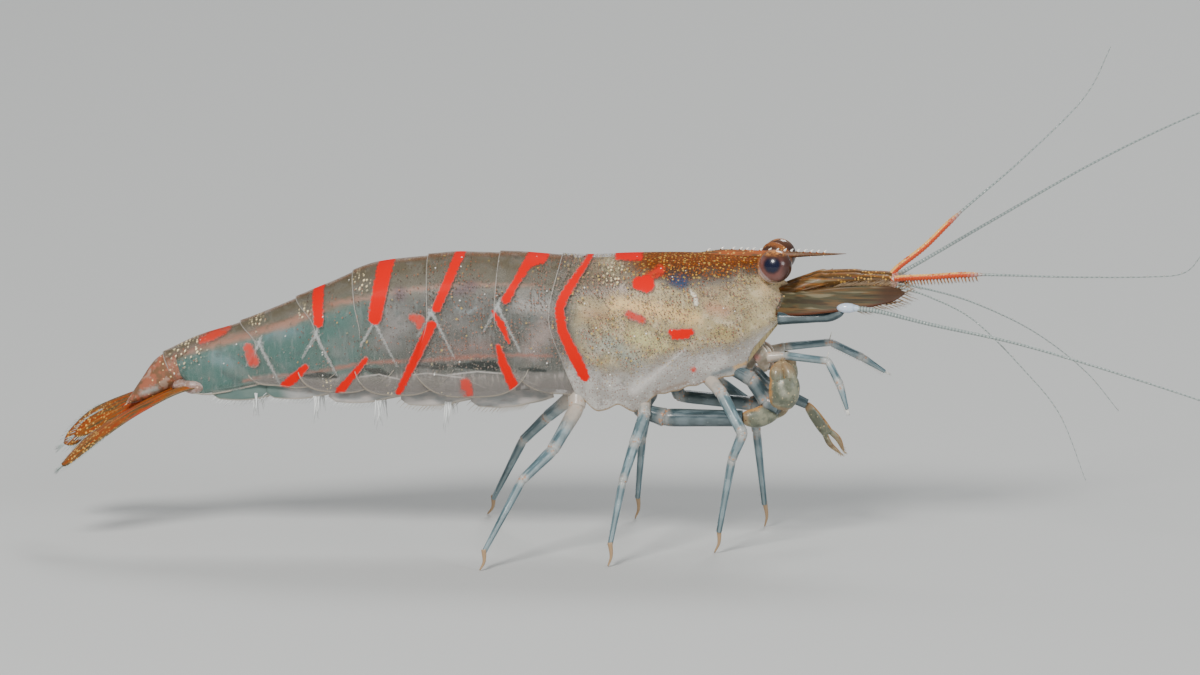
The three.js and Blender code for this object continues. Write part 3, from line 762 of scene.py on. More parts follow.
# Tints of the flesh: (stroke, soft edge, colour, strength).
FLESH_TINTS = [
    ([(-0.9, 9.9, 0.3), (-2.0, 10.0, 0.3)], 0.4, (0.5, 0.46, 0.43), 0.75),
    ([(-1.0, 9.0, 0.4), (-1.6, 8.2, 0.4)], 0.5, (0.43, 0.33, 0.3), 0.75),
    ([(-3.6, 10.0, 0.5), (-4.9, 9.0, 0.5)], 0.6, (0.16, 0.15, 0.14), 0.8),
    ([(-4.6, 9.85, 0.05), (-4.2, 9.62, 0.04), (-3.8, 9.8, 0.05)], 0.12, (0.36, 0.42, 0.44), 0.7),
    ([(-3.4, 8.3, 0.3), (-5.0, 8.0, 0.3)], 0.4, (0.32, 0.22, 0.2), 0.7),
    ([(-6.9, 9.3, 0.4), (-7.4, 8.4, 0.4)], 0.5, (0.26, 0.24, 0.23), 0.8),
    ([(-8.4, 9.0, 0.3), (-9.2, 8.0, 0.4)], 0.5, (0.14, 0.18, 0.165), 0.8),
    ([(-12.2, 8.5, 0.15), (-11.0, 8.7, 0.15)], 0.3, (0.13, 0.24, 0.26), 0.8),
    ([(-14.3, 7.5, 0.25), (-13.7, 7.3, 0.2)], 0.3, (0.19, 0.31, 0.32), 0.7),
    ([(0.9, 11.0, 0.5), (2.0, 10.9, 0.4)], 0.5, (0.2, 0.14, 0.09), 0.85),
    ([(1.4, 11.3, 0.15), (2.2, 11.35, 0.15)], 0.25, (0.36, 0.34, 0.2), 0.7),
    ([(0.3, 10.45, 0.1), (2.1, 10.65, 0.15)], 0.2, (0.52, 0.43, 0.4), 0.8),
    ([(1.7, 10.05, 0.28), (3.4, 9.85, 0.3)], 0.35, (1.0, 0.66, 0.28), 0.95),
    ([(0.6, 9.7, 0.2), (1.2, 9.6, 0.2)], 0.35, (0.42, 0.24, 0.12), 0.8),
    ([(3.9, 9.75, 0.25), (4.9, 9.5, 0.25)], 0.3, (0.9, 0.6, 0.24), 0.9),
    ([(0.5, 8.9, 0.2), (1.0, 8.2, 0.25)], 0.4, (0.42, 0.42, 0.39), 0.75),
    ([(2.6, 8.8, 0.3), (3.5, 8.45, 0.25)], 0.35, (0.72, 0.66, 0.3), 0.85),
    ([(1.5, 8.5, 0.3), (2.6, 7.7, 0.3)], 0.4, (0.42, 0.48, 0.43), 0.8),
    ([(5.3, 10.6, 0.3), (6.4, 10.8, 0.3)], 0.4, (0.36, 0.24, 0.13), 0.75),
    ([(5.6, 9.95, 0.2), (6.1, 9.8, 0.2)], 0.3, (0.6, 0.3, 0.18), 0.8),
    ([(6.6, 10.2, 0.35), (7.5, 9.8, 0.4)], 0.4, (0.6, 0.48, 0.26), 0.7),
    ([(5.9, 8.9, 0.3), (6.5, 8.5, 0.25)], 0.2, (0.52, 0.4, 0.16), 0.85),
    ([(5.8, 9.35, 0.03), (6.5, 9.25, 0.03), (6.9, 8.8, 0.03), (6.7, 8.2, 0.03)], 0.1, (0.85, 0.72, 0.5), 0.8),
    ([(4.9, 8.6, 0.2), (5.3, 8.0, 0.3)], 0.4, (0.62, 0.52, 0.34), 0.7),
    ([(7.7, 11.0, 0.3), (7.6, 10.6, 0.2)], 0.3, (0.72, 0.5, 0.25), 0.85),
    ([(8.5, 10.5, 0.35), (8.5, 9.7, 0.3)], 0.4, (0.3, 0.17, 0.08), 0.8),
    ([(0.5, 10.95, 0.45), (1.4, 10.5, 0.3)], 0.5, (0.17, 0.12, 0.08), 0.8),
]
# Tints of the carapace's flank: (strokes, soft edge, colour, strength).
CHEEK_TINTS = [
    ([[(4.5, 8.25, 0.06), (3.3, 7.2, 0.16), (2.5, 6.6, 0.22)]], 0.16, (0.72, 0.68, 0.64), 0.8),
    ([[(5.65, 7.2, 0.07), (6.3, 7.38, 0.1)]], 0.12, (0.15, 0.2, 0.22), 0.8),
    ([[(6.5, 7.45, 0.07), (6.9, 7.6, 0.06)]], 0.08, (0.7, 0.42, 0.16), 0.8),
    ([[(3.3, 6.45, 0.05), (4.6, 6.9, 0.06)]], 0.1, (0.3, 0.2, 0.14), 0.7),
    ([[(5.2, 6.66, 0.05)], [(5.55, 6.72, 0.06)], [(5.95, 6.82, 0.05)]], 0.06, (0.4, 0.05, 0.04), 0.75),
    ([[(4.72, 10.62, 0.04), (4.92, 10.42, 0.07), (4.98, 10.12, 0.08)]], 0.08, (1.0, 0.9, 0.72), 0.9),
]
# The dark stroke behind the head and the blue spot in it.
NECK_STROKE = [[(3.4, 11.2, 0.15), (4.2, 11.15, 0.34), (6.2, 11.15, 0.2)]]
BLUE_SPOT = [[(4.0, 11.0, 0.17), (4.4, 10.93, 0.26)]]
# Ends of the rays that run out from a hinge, from the hinge: (forward, down).
HINGE_RAYS = [(-0.55, 1.0), (0.9, 1.8), (0.1, -0.3)]
# How strong the dark colour cells are on each plate.
FRECKLES = [1.0, 1.0, 0.8, 0.35, 0.2, 0.1, 0.05]


def near_plate(strokes, low, high):
    """The strokes that touch a plate which runs from x = low to x = high."""
    return [s for s in strokes if min(k[0] - k[2] for k in s) < high and max(k[0] + k[2] for k in s) > low]


def shell_finish(index, look):
    """A glassy plate: faint milk, colour cells as fine dots, red bars, and pale edges."""
    carapace = index == CARAPACE
    levels = (0, 0.4, 1)  # the back, the flank and the lower edge
    low = min(MARGINS[index + 1](t) for t in levels) - 0.3
    high = max(MARGINS[index](t) for t in levels) + 2.0  # a plate runs on forward under the one in front
    name = f"shell {PLATES[index]}"
    paint = Paint(name, look.milk_colour, look.milk, 0.5, 0.01, 0.15, sheet=True, specular=0.025)
    down, rear, lower = paint.mark("down"), paint.mark("rear"), paint.mark("low")
    cloud, grain = paint.noise(1.1, 3.0), paint.noise(0.5, 3.0, seed=3)
    x = paint.part("X")
    paint.lay(cloud, 0.5, 0.75, (0.5, 0.46, 0.44), 0.6, look.milk * 2.2)
    if carapace:
        hazy = paint.roughened(paint.number("SUBTRACT", down, 0.08), grain, 0.16)
        skirt = paint.step(hazy, 0.62, 0.84)
        paint.cover(skirt, (0.43, 0.405, 0.37), 1.0, 0.85)
        paint.cover((skirt, paint.step(cloud, 0.42, 0.6)), (0.62, 0.6, 0.56), 0.8)
        paint.cover((skirt, paint.step(grain, 0.42, 0.28)), (0.26, 0.23, 0.215), 0.7)
        paint.cover((skirt, paint.dots(0.1, 0.6, 0.03, seed=61)), (0.3, 0.15, 0.12), 0.7)
        paint.cover((skirt, paint.dots(0.17, 0.4, 0.04, seed=62)), (0.8, 0.78, 0.74), 0.6)
        for strokes, soft, colour, strength in CHEEK_TINTS:
            paint.cover(paint.strokes(strokes, soft, 0.06), colour, strength, 0.9)
        band_edge = paint.roughened(paint.number("SUBTRACT", down, 0.05), grain, 0.1)
        ahead = paint.step(x, 1.4, 3.2)
        shadow = paint.times(paint.step(band_edge, 0.17, 0.1), ahead)
        paint.cover(shadow, (0.11, 0.055, 0.02), 0.8, 0.7)
        paint.cover((paint.step(band_edge, 0.12, 0.05), ahead), (0.17, 0.045, 0.006), 0.95, 0.9)
        paint.cover(paint.strokes(NECK_STROKE, 0.35, 0.15), (0.085, 0.045, 0.03), 0.85, 0.8)
        paint.cover(paint.strokes(BLUE_SPOT, 0.2, 0.05), (0.035, 0.06, 0.125), 0.95, 1.0)
        paint.cover((shadow, paint.dots(0.11, 0.7, 0.042, seed=5)), (0.4, 0.105, 0.01), 0.9, 0.95)
        paint.cover((shadow, paint.dots(0.15, 0.35, 0.04, seed=6)), (0.75, 0.38, 0.06), 1.0, 1.0)
    else:
        brown = paint.times(paint.step(down, 0.2, 0.04), paint.step(grain, 0.2, 0.55))
        paint.cover(brown, (0.13, 0.1, 0.05), 0.8, 0.5)
        paint.lay(down, 0.016, 0.004, (0.3, 0.12, 0.05), 0.5, 0.6)
        pleuron = paint.step(paint.roughened(down, grain, 0.08), 0.86, 0.97)
        strength, opacity = (0.3, 0.1) if index == LAST else (0.85, 0.5)
        paint.cover(pleuron, (0.26, 0.235, 0.22), strength, opacity)
    front = FRECKLES[index]
    upper = paint.step(down, 0.95, 0.6)
    freckled = paint.times(upper, paint.step(paint.noise(1.3, 2.0, seed=8), 0.28, 0.5))
    yellow = 0.4 if carapace else 0.08 * front
    for spacing, share, radius, colour, seed in (
        (0.2, yellow, 0.05, (0.62, 0.42, 0.1), 11.0),
        (0.15, 0.6 * front, 0.036, (0.36, 0.11, 0.05), 17.0),
        (0.13, 0.75 * front, 0.032, (0.07, 0.03, 0.02), 23.0),
    ):
        paint.cover((paint.dots(spacing, share, radius, seed=seed), freckled), colour, 0.85, 0.8)
    gilt = None
    for px, pz, reach in (g for g in GILT_PATCHES if low - 1 < g[0] < high + 1):
        away = paint.stroke_distance([[(px, pz, 0.0)]])
        found = paint.step(away, reach, reach * 0.2)
        gilt = found if gilt is None else paint.number("MAXIMUM", gilt, found)
    if gilt is not None:
        spots = paint.times(paint.dots(0.16, 0.65, 0.05, seed=31), gilt)
        paint.cover(spots, (1.0, 0.84, 0.5), 1.0, 1.0)
    for hx, hz in (h for h in HINGES if not carapace and low < h[0] < high):
        # Painted highlight: a white spot on each hinge knob; the rays from it are pale lines of the shell.
        paint.cover(paint.strokes([[(hx, hz, 0.06)]], 0.22, 0.25), (0.7, 0.73, 0.73), 0.85, 0.75)
        rays = [[(hx, hz, 0.05), (hx + forward, hz - fall, 0.0)] for forward, fall in HINGE_RAYS]
        paint.cover(paint.strokes(rays, 0.09, 0.1), (0.66, 0.7, 0.71), 0.75, 0.65)
    faint = near_plate(FAINT_RED, low, high)
    if faint:
        broken = paint.step(grain, 0.15, 0.5)
        paint.cover((paint.strokes(faint, 0.08, 0.09), broken), (0.7, 0.03, 0.014), 0.85, 0.95)
    bars = near_plate(RED_BARS, low, high)
    if bars:
        paint.cover(paint.strokes(bars, 0.045, 0.075, 0.12), look.bar_colour, 1.0, 1.0)
    # Painted highlights: white glints scattered over the plate.
    glints = paint.dots(0.5, 0.12 if carapace else 0.06, 0.036, 0.3, seed=41)
    paint.cover(glints, (1.0, 0.98, 0.92), 1.0, 1.0)
    edge = paint.times(paint.step(rear, 0.05, 0.015), paint.step(grain, 0.1, 0.45))
    if not carapace:
        edge = paint.times(edge, paint.step(down, 0.6, 0.38))
    paint.cover(edge, (0.64, 0.6, 0.55), 0.75, 0.5)
    rim = paint.times(paint.step(lower, 0.08, 0.03), paint.step(grain, 0.25, 0.5))
    paint.cover(rim, (0.66, 0.45, 0.26) if carapace else (0.62, 0.54, 0.44), 0.8, 0.8)
    paint.relief(paint.noise(0.12, 2.0, seed=2), 0.006, 0.5)
    return paint.done()


def flesh_finish(look, abdomen):
    """Milky muscle, beige in front and blue-grey in the tail, with the gut and organs showing through."""
    name, first = ("abdomen flesh", look.middle_colour) if abdomen else ("front flesh", look.front_colour)
    paint = Paint(name, first, 1.0, 0.5, 0.06, 0.25, sheet=True, specular=0.3)
    x, down = paint.part("X"), paint.mark("down")
    cloud, grain = paint.noise(1.4, 3.0), paint.noise(0.45, 3.0, seed=4)
    fibres = paint.noise(0.2, 2.0, stretch=(1.6, 1.0, 0.35), seed=6)
    middle, front = paint.step(x, 0.6, FLESH_SEAM), paint.step(x, FLESH_SEAM, 0.7)
    if abdomen:
        tail = paint.step(paint.roughened(x, cloud, 3.0), -5.2, -8.0)
        paint.cover(tail, look.tail_colour)
    else:
        paint.cover(middle, look.middle_colour)
        paint.cover((paint.step(grain, 0.52, 0.62), front), (0.8, 0.68, 0.46), 0.5)
        paint.cover((paint.step(grain, 0.43, 0.31), front), (0.2, 0.14, 0.07), 0.55)
    for stroke, soft, colour, strength in FLESH_TINTS:
        middle_x = sum(knot[0] for knot in stroke) / len(stroke)
        if (middle_x < FLESH_SEAM) == abdomen:
            paint.cover(paint.strokes([stroke], soft, 0.16, 0.4), colour, strength)
    paint.cover((paint.step(cloud, 0.5, 0.7), middle), (0.35, 0.33, 0.31), 0.32)
    paint.cover((paint.step(grain, 0.46, 0.3), middle), (0.07, 0.1, 0.095), 0.5)
    paint.cover((paint.step(fibres, 0.5, 0.75), middle), (0.4, 0.42, 0.42), 0.2)
    above = paint.roughened(down, grain, 0.1)
    upper = paint.times(paint.step(above, 0.34, 0.2), paint.step(x, 1.6, -0.4))
    paint.cover(upper, (0.12, 0.095, 0.05), 0.8)
    belt = paint.times(paint.step(down, 0.8, 0.86), paint.step(x, 0.4, -0.4), paint.step(x, -13.4, -12.0))
    paint.cover(belt, (0.255, 0.235, 0.22), 0.9)
    paint.cover((belt, paint.step(fibres, 0.48, 0.62)), (0.48, 0.43, 0.4), 0.7)
    if abdomen:
        broken = paint.step(grain, 0.2, 0.5)
        paint.cover((paint.strokes(GUT_LINE, 0.12, 0.12, 0.3), broken), (0.42, 0.19, 0.125), 0.75)
        paint.cover((paint.strokes(MUSCLE_EDGE, 0.1, 0.08, 0.3), broken), (0.45, 0.16, 0.11), 0.85)
        paint.cover(paint.strokes(ORGANS, 0.22, 0.1), (0.09, 0.03, 0.045), 0.9)
        # Painted shade in the gaps above the swimmerets' roots.
        paint.cover(paint.strokes(SLOT_SHADE, 0.05, 0.03), (0.012, 0.022, 0.022), 1.0)
        paint.cover(paint.strokes(LOBE_LINES, 0.035, 0.02), (0.75, 0.7, 0.66), 0.9)
    else:
        paint.cover((paint.dots(0.14, 0.6, 0.036, seed=51), front), (0.13, 0.06, 0.03), 0.75)
    paint.soft(0.2, 0.12)
    paint.relief(grain, 0.03, 0.5)
    return paint.done()


def limb_finish(name, look, pale=1.0, dim=1.0):
    """Glassy blue-grey shell with long pale streaks, clouded white at the joints and near the body, and a
    painted highlight down each tube.
    """
    paint = Paint(name, [dim * c for c in look.limb_colour], 0.96, 0.3, 0.15, 0.12, specular=0.25)
    along, round_ = paint.mark("along"), paint.mark("round")
    where = paint.node("CombineXYZ", {0: paint.number("MULTIPLY", along, 0.5), 1: round_}).outputs[0]
    streak = paint.noise(0.5, 3.0, where=where)
    grain = paint.noise(0.2, 3.0)
    paint.lay(streak, 0.5, 0.62, [dim * c for c in (0.3, 0.4, 0.44)], 0.75, 1.0)
    paint.lay(streak, 0.43, 0.32, [dim * c for c in (0.035, 0.07, 0.08)], 0.7)
    # Painted highlight: a pale band down two opposite sides of each tube, for the light on glassy shell.
    edge = paint.step(paint.number("ABSOLUTE", round_), 0.82, 0.98)
    paint.cover(edge, (0.5, 0.55, 0.55), 0.35 * dim, 1.0)
    joint = paint.step(paint.roughened(paint.mark("joint"), grain, 0.8), 0.7, 1.3)
    paint.cover(joint, look.joint_colour, 0.65 * pale, 1.0)
    root = paint.step(paint.roughened(paint.mark("root"), grain, 0.5), 0.55, 1.05)
    paint.cover(root, (0.54, 0.46, 0.38), 0.85, 1.0)
    warm = paint.times(joint, paint.dots(0.12, 0.5, 0.06, seed=3))
    paint.cover(warm, (0.55, 0.24, 0.1), 0.7, 1.0)
    paint.speckle(0.2, 0.4, 0.035, (0.75, 0.78, 0.74), 0.55 * dim * dim, 1.0, seed=9)
    paint.soft(0.2, 0.12, (0.9, 0.95, 1.0))
    return paint.done()


def streaked_finish(name, base, streak, opacity, spots, margin=None):
    """Clear horn with long streaks and yellow colour cells, as on the feeler bases."""
    paint = Paint(name, base, opacity, 0.45, 0.05, 0.15, specular=0.2)
    lines = paint.noise(0.13, 3.0, stretch=(0.06, 0.4, 1.0), seed=1)
    paint.lay(lines, 0.46, 0.6, streak, 0.85, min(opacity + 0.2, 1.0))
    dark = paint.noise(0.18, 2.0, stretch=(0.06, 0.4, 1.0), seed=7)
    paint.lay(dark, 0.52, 0.62, (0.03, 0.018, 0.008), 0.7, min(opacity + 0.15, 1.0))
    paint.lay(dark, 0.42, 0.33, (0.27, 0.23, 0.14), 0.6, min(opacity + 0.1, 1.0))
    if margin:
        paint.lay(paint.mark("across"), 0.6, 0.9, margin, 0.9, 1.0)
        paint.lay(paint.part("X"), 11.7, 12.6, (0.06, 0.025, 0.012), 0.85, 1.0)
    if spots:
        ahead = paint.step(paint.part("X"), 9.6, 11.6)
        paint.cover((paint.dots(0.12, spots, 0.05, seed=13), ahead), (0.75, 0.42, 0.08), 0.9, 1.0)
        paint.speckle(0.15, spots * 0.7, 0.04, (0.26, 0.05, 0.015), 0.9, 1.0, seed=19)
    paint.soft(0.15, 0.15)
    return paint.done()


def feeler_finish(name, look, red_length):
    """Ringed: orange-red from its root for some millimetres, with a painted highlight along its top, then
    clear with pale rings.
    """
    paint = Paint(name, look.clear_colour, 1.0, 0.4, 0.15, specular=0.35)
    along, ring = paint.mark("along"), paint.mark("ring")
    paint.lay(ring, 0.4, 0.8, (0.46, 0.5, 0.48), 0.7)
    if red_length:
        root = paint.step(along, red_length + 0.4, red_length - 0.6)
        paint.cover(root, look.red_colour)
        paint.cover((root, paint.step(ring, 0.5, 0.0)), (0.3, 0.02, 0.008), 0.6)
        # Painted highlight: a yellow stripe along the top of the red root.
        upper = paint.step(paint.mark("round"), 0.3, 0.75)
        paint.cover((root, upper, paint.step(paint.noise(0.2), 0.3, 0.5)), (1.0, 0.6, 0.14), 0.85)
    return paint.done()


def eye_finish(side):
    """A faceted eye: a navy centre in a mauve-brown disc with a paler ring, dark brown on top, and painted
    shade on its front side.
    """
    name = "eye right" if side == RIGHT else "eye left"
    paint = Paint(name, (0.17, 0.06, 0.05), 1.0, 0.25, 0.35, 0.06, specular=0.35)
    centre = (EYE["x"], side * EYE["y"], EYE["z"])
    outward = Vector((-0.18, side * 0.95, 0.24)).normalized()
    reach = paint.vector("NORMALIZE", paint.vector("SUBTRACT", paint.place, centre))
    facing = paint.vector("DOT_PRODUCT", reach, tuple(outward))
    grain = paint.noise(0.16, 2.0)
    wobble = paint.roughened(facing, grain, 0.07)
    paint.lay(wobble, 0.86, 0.62, (0.2, 0.085, 0.07), 0.8)
    paint.lay(wobble, 0.45, 0.1, (0.07, 0.025, 0.02), 0.9)
    # Painted shade: the eye is darkened towards its front.
    ahead = paint.vector("DOT_PRODUCT", reach, (0.95, 0.0, 0.1))
    paint.lay(ahead, 0.15, 0.7, (0.04, 0.014, 0.01), 0.85)
    left_low = paint.vector("DOT_PRODUCT", reach, (-0.75, 0.0, -0.66))
    low_edge = paint.step(left_low, 0.66, 0.84)
    crescent = (low_edge, paint.step(facing, 0.1, 0.25), paint.step(facing, 0.66, 0.52))
    paint.cover(crescent, (0.5, 0.38, 0.4), 0.75)
    paint.lay(wobble, 0.78, 0.91, (0.022, 0.01, 0.016), 0.9)
    paint.lay(wobble, 0.88, 0.95, (0.004, 0.006, 0.026), 1.0)
    top = paint.part("Z")
    paint.lay(top, EYE["z"] + 0.28, EYE["z"] + 0.5, (0.09, 0.035, 0.015), 0.85)
    crown = paint.step(top, EYE["z"] + 0.42, EYE["z"] + 0.54)
    cap = (crown, paint.step(grain, 0.35, 0.55), paint.step(facing, -0.1, 0.2))
    paint.cover(cap, (0.62, 0.24, 0.06), 0.85)
    facets = paint.node("TexVoronoi", {"Vector": paint.place, "Scale": 1 / FACET})
    paint.relief(facets.outputs["Distance"], 0.004, 0.2)
    return paint.done()


def plain_finish(name, colour, roughness, coat=0.2, reach=0.0):
    paint = Paint(name, colour, 1.0, roughness, coat)
    if reach:
        paint.soft(0.4, reach)
    return paint.done()


def fan_finish(name, look):
    """Orange streaks along clear blades, with yellow dots towards the edges and tips."""
    paint = Paint(name, look.fan_clear, 0.85, 0.45, 0.06, 0.15, specular=0.2)
    along, across, share = paint.mark("along"), paint.mark("across"), paint.mark("share")
    parts = {0: paint.number("MULTIPLY", along, 0.18), 1: across, 2: paint.part("Y")}
    where = paint.node("CombineXYZ", parts).outputs[0]
    lines = paint.noise(0.26, 3.0, where=where, seed=2)
    inner = paint.step(paint.number("ABSOLUTE", across), 1.0, 0.8)
    paint.cover((paint.step(lines, 0.36, 0.5), inner), look.fan_colour, 1.0, 1.0)
    paint.cover((paint.step(lines, 0.55, 0.63), inner), (0.3, 0.03, 0.006), 0.8, 1.0)
    paint.cover((paint.step(lines, 0.4, 0.34), inner), (0.09, 0.05, 0.02), 0.7, 0.9)
    rib = paint.step(paint.number("ABSOLUTE", paint.number("SUBTRACT", across, 0.12)), 0.09, 0.03)
    paint.cover(rib, (0.5, 0.16, 0.03), 0.6, 1.0)
    red = (paint.step(share, 0.2, 0.35), paint.step(share, 0.6, 0.42), paint.step(lines, 0.42, 0.55))
    paint.cover(red, (0.42, 0.035, 0.006), 0.7, 1.0)
    tips = paint.step(share, 0.45, 0.9)
    brim = paint.step(across, -0.5, -0.9)
    many = paint.number("MULTIPLY_ADD", paint.number("MAXIMUM", tips, brim), 0.85, 0.05)
    paint.cover((paint.dots(0.12, 0.8, 0.055, seed=4), many), (0.85, 0.5, 0.12), 1.0, 1.0)
    paint.thin(paint.times(paint.step(share, 0.94, 1.0), paint.step(lines, 0.5, 0.3)), 0.6)
    return paint.done()


def leaf_finish(look):
    """Swimmeret leaves: milky and clear, whiter at the rim, blue-green under the tail."""
    paint = Paint("swimmeret leaf", look.leaf_colour, 0.97, 0.4, 0.15, specular=0.35)
    across = paint.mark("across")
    grain = paint.noise(0.3, 3.0, stretch=(0.35, 1, 1))
    paint.lay(grain, 0.45, 0.62, (0.58, 0.52, 0.48), 0.7, 1.0)
    paint.lay(grain, 0.42, 0.32, (0.24, 0.21, 0.19), 0.6)
    tail = paint.step(paint.part("X"), -11.2, -11.9)
    paint.cover(tail, (0.07, 0.15, 0.13), 0.85)
    rim = paint.step(paint.number("ABSOLUTE", across), 0.84, 0.98)
    paint.cover(rim, (0.75, 0.66, 0.55), 0.7, 1.0)
    return paint.done()


# ---- settings ----


def length_setting(name, description, millimetres):
    return FloatProperty(
        name=name, description=description, default=millimetres * MM, min=0.0, unit="LENGTH", precision=5
    )


def angle_setting(name, description, degrees):
    return FloatProperty(name=name, description=description, default=math.radians(degrees), subtype="ANGLE")


def colour_setting(name, description, colour):
    return FloatVectorProperty(
        name=name, description=description, default=colour, size=3, min=0.0, max=1.0, subtype="COLOR"
    )


class ShrimpShell(bpy.types.PropertyGroup):
    wall: length_setting("Wall", "Thickness of a shell plate", 0.05)
    lip: length_setting("Lip", "How far a plate's rear edge stands out over the next plate", 0.045)
    milk: FloatProperty(name="Milk", description="Opacity of clear shell", default=0.045, min=0.0, max=1.0)
    milk_colour: colour_setting("Milk colour", "Colour of clear shell", (0.4, 0.38, 0.33))
    bar_colour: colour_setting("Bar colour", "Colour of the bars and spots", (0.8, 0.004, 0.0015))


class ShrimpFlesh(bpy.types.PropertyGroup):
    under_shell: length_setting("Under the shell", "Depth of the flesh below the outside of the shell", 0.1)
    front_colour: colour_setting("Front", "Flesh under the carapace", (0.5, 0.4, 0.21))
    middle_colour: colour_setting("Middle", "Flesh of the first segments", (0.115, 0.12, 0.108))
    tail_colour: colour_setting("Tail", "Flesh of the last segments", (0.06, 0.155, 0.135))


class ShrimpLimbs(bpy.types.PropertyGroup):
    limb_colour: colour_setting("Shell", "Shell of legs and pincers", (0.11, 0.18, 0.205))
    joint_colour: colour_setting("Joints", "Shell near the joints", (0.54, 0.52, 0.48))


class ShrimpFeelers(bpy.types.PropertyGroup):
    ring_spacing: length_setting("Rings", "Spacing of the rings near the root", 0.12)
    clear_colour: colour_setting("Clear", "Feelers beyond their root", (0.2, 0.25, 0.24))
    red_colour: colour_setting("Red", "Roots of the upper feelers", (0.62, 0.07, 0.01))


class ShrimpTail(bpy.types.PropertyGroup):
    fan_colour: colour_setting("Streaks", "Streaks of the tail fan", (0.28, 0.08, 0.01))
    fan_clear: colour_setting("Clear", "Clear parts of the tail fan", (0.14, 0.1, 0.045))
    leaf_colour: colour_setting("Swimmerets", "Swimmeret leaves", (0.36, 0.36, 0.35))
    seed: IntProperty(name="Seed", description="Varies the lie of the hairs", default=7, min=0)


class ShrimpStage(bpy.types.PropertyGroup):
    azimuth: angle_setting("Azimuth", "Turn of the camera towards the head", 4)
    elevation: angle_setting("Elevation", "Angle of the camera above level", 10)
    view_width: length_setting("View width", "Width of the picture at the animal", 48.0)
    distance: length_setting("Distance", "From the camera to the animal", 900.0)
    floor_colour: colour_setting("Floor", "Colour of the floor", (0.6, 0.61, 0.6))


SETTINGS = {
    "shrimp_shell": ShrimpShell,
    "shrimp_flesh": ShrimpFlesh,
    "shrimp_limbs": ShrimpLimbs,
    "shrimp_feelers": ShrimpFeelers,
    "shrimp_tail": ShrimpTail,
    "shrimp_stage": ShrimpStage,
}


# ---- body ----


def plate_lift(index, u, t, lip):
    """How far a plate's outside stands off the body's form, in millimetres: most at its rear edge, u = 0."""
    lift = lerp(lip, -lip / 2, ramp(u, 0.0, 1.0)) + 0.01 * math.exp(-((u / 0.06) ** 2))
    if index == SADDLE:
        lift = lerp(lift, lip + 0.07, ramp(t, 0.48, 0.62))
    return lift


def carapace_relief(x, t):
    """Swellings and furrows of the carapace, in millimetres."""
    gill = 0.07 * math.exp(-(((x - 1.6) / 2.4) ** 2) - ((t - 0.66) / 0.24) ** 2)
    furrow = -0.07 * math.exp(-(((x - 4.3 + 1.6 * (t - 0.2)) / 0.28) ** 2) - ((t - 0.32) / 0.2) ** 2)
    cheek = 0.06 * math.exp(-(((x - 6.4) / 0.9) ** 2) - ((t - 0.5) / 0.18) ** 2)
    return gill + furrow + cheek


def skirt_drop(x):
    """How far the carapace's lower edge hangs below the body's form, in millimetres, with its lobes."""
    ripple = 0.035 * math.sin((x - 3.4) * 9) * ramp(x, 3.6, 4.2)
    return ripple + sum(drop * math.exp(-(((x - at) / half) ** 2)) for at, half, drop in SKIRT_LOBES)


def plate_edges(index):
    """The rear and front edges of a plate, each x against the share of the depth."""
    rear, front = MARGINS[index + 1], MARGINS[index]
    if index == CARAPACE:
        return rear, front
    if index == SADDLE:
        return rear, lambda t: front(t) + lerp(UNDERLAP(t), 0.75, ramp(t, 0.45, 0.6))
    return rear, lambda t: front(t) + UNDERLAP(t)


def lower_reach(index, u):
    """How far down a plate reaches at a share of its length, with rounded lower corners."""
    if index == CARAPACE:
        return 1.0
    corner = 0.12 if index == LAST else 0.2
    return 1 - corner * abs(2 * u - 1) ** 3.2


def build_plate(index, look):
    """A thin wall between the plate's outside and inside, thinned out towards its edges."""
    carapace = index == CARAPACE
    rows, columns = (84, 120) if carapace else (40, 104)
    rear, front = plate_edges(index)
    grid = np.zeros((rows + 1, columns + 1, 3))
    lift = np.zeros((rows + 1, columns + 1, 1))
    wall = np.zeros_like(lift)
    marks = {"down": [], "rear": [], "low": []}
    for i in range(rows + 1):
        u = i / rows
        for j in range(columns + 1):
            q = -1 + 2 * j / columns
            share = abs(q)
            t = depth_share(share) * lower_reach(index, u)
            x = lerp(rear(t), front(t), u)
            if carapace:
                t += skirt_drop(x) * ramp(share, 0.75, 1.0) / (BACK(x) - LOWER_EDGE(x))
            grid[i, j] = on_flank(x, t, LEFT if q > 0 else RIGHT)
            lift[i, j] = plate_lift(index, u, t, look.lip / MM)
            if carapace:
                lift[i, j] += carapace_relief(x, t)
            to_edge = min(u, 1 - u, 1 - share) * rows / 4
            wall[i, j] = look.wall / MM * lerp(0.35, 1.0, min(to_edge, 1.0))
            marks["down"].append(t)
            marks["rear"].append(x - rear(t))
            marks["low"].append((1 - share) * (BACK(x) - LOWER_EDGE(x)))
    marks["around"] = arc_lengths(grid)
    normal = normals_of(grid)
    outer = grid + normal * lift
    form = Form()
    form.wall(outer, outer - normal * wall, marks)
    if carapace:
        for side in SIDES.values():
            for t, length in FACE_SPINES:
                root = on_flank(MARGINS[0](t) - 0.12, t, side)
                form.spike(root, (length, 0, 0.08), [0.07, 0.055, 0.04, 0.022, 0.006], sides=6)
                for column in form.marks.values():
                    column.extend([0.5] * (len(form.points) - len(column)))
    slot = "tail_shell" if index > LAST_OF_FRONT else "shell"
    form.piece(f"{PLATES[index]}_plate", [shell_finish(index, look)], slot, PLATES[index])


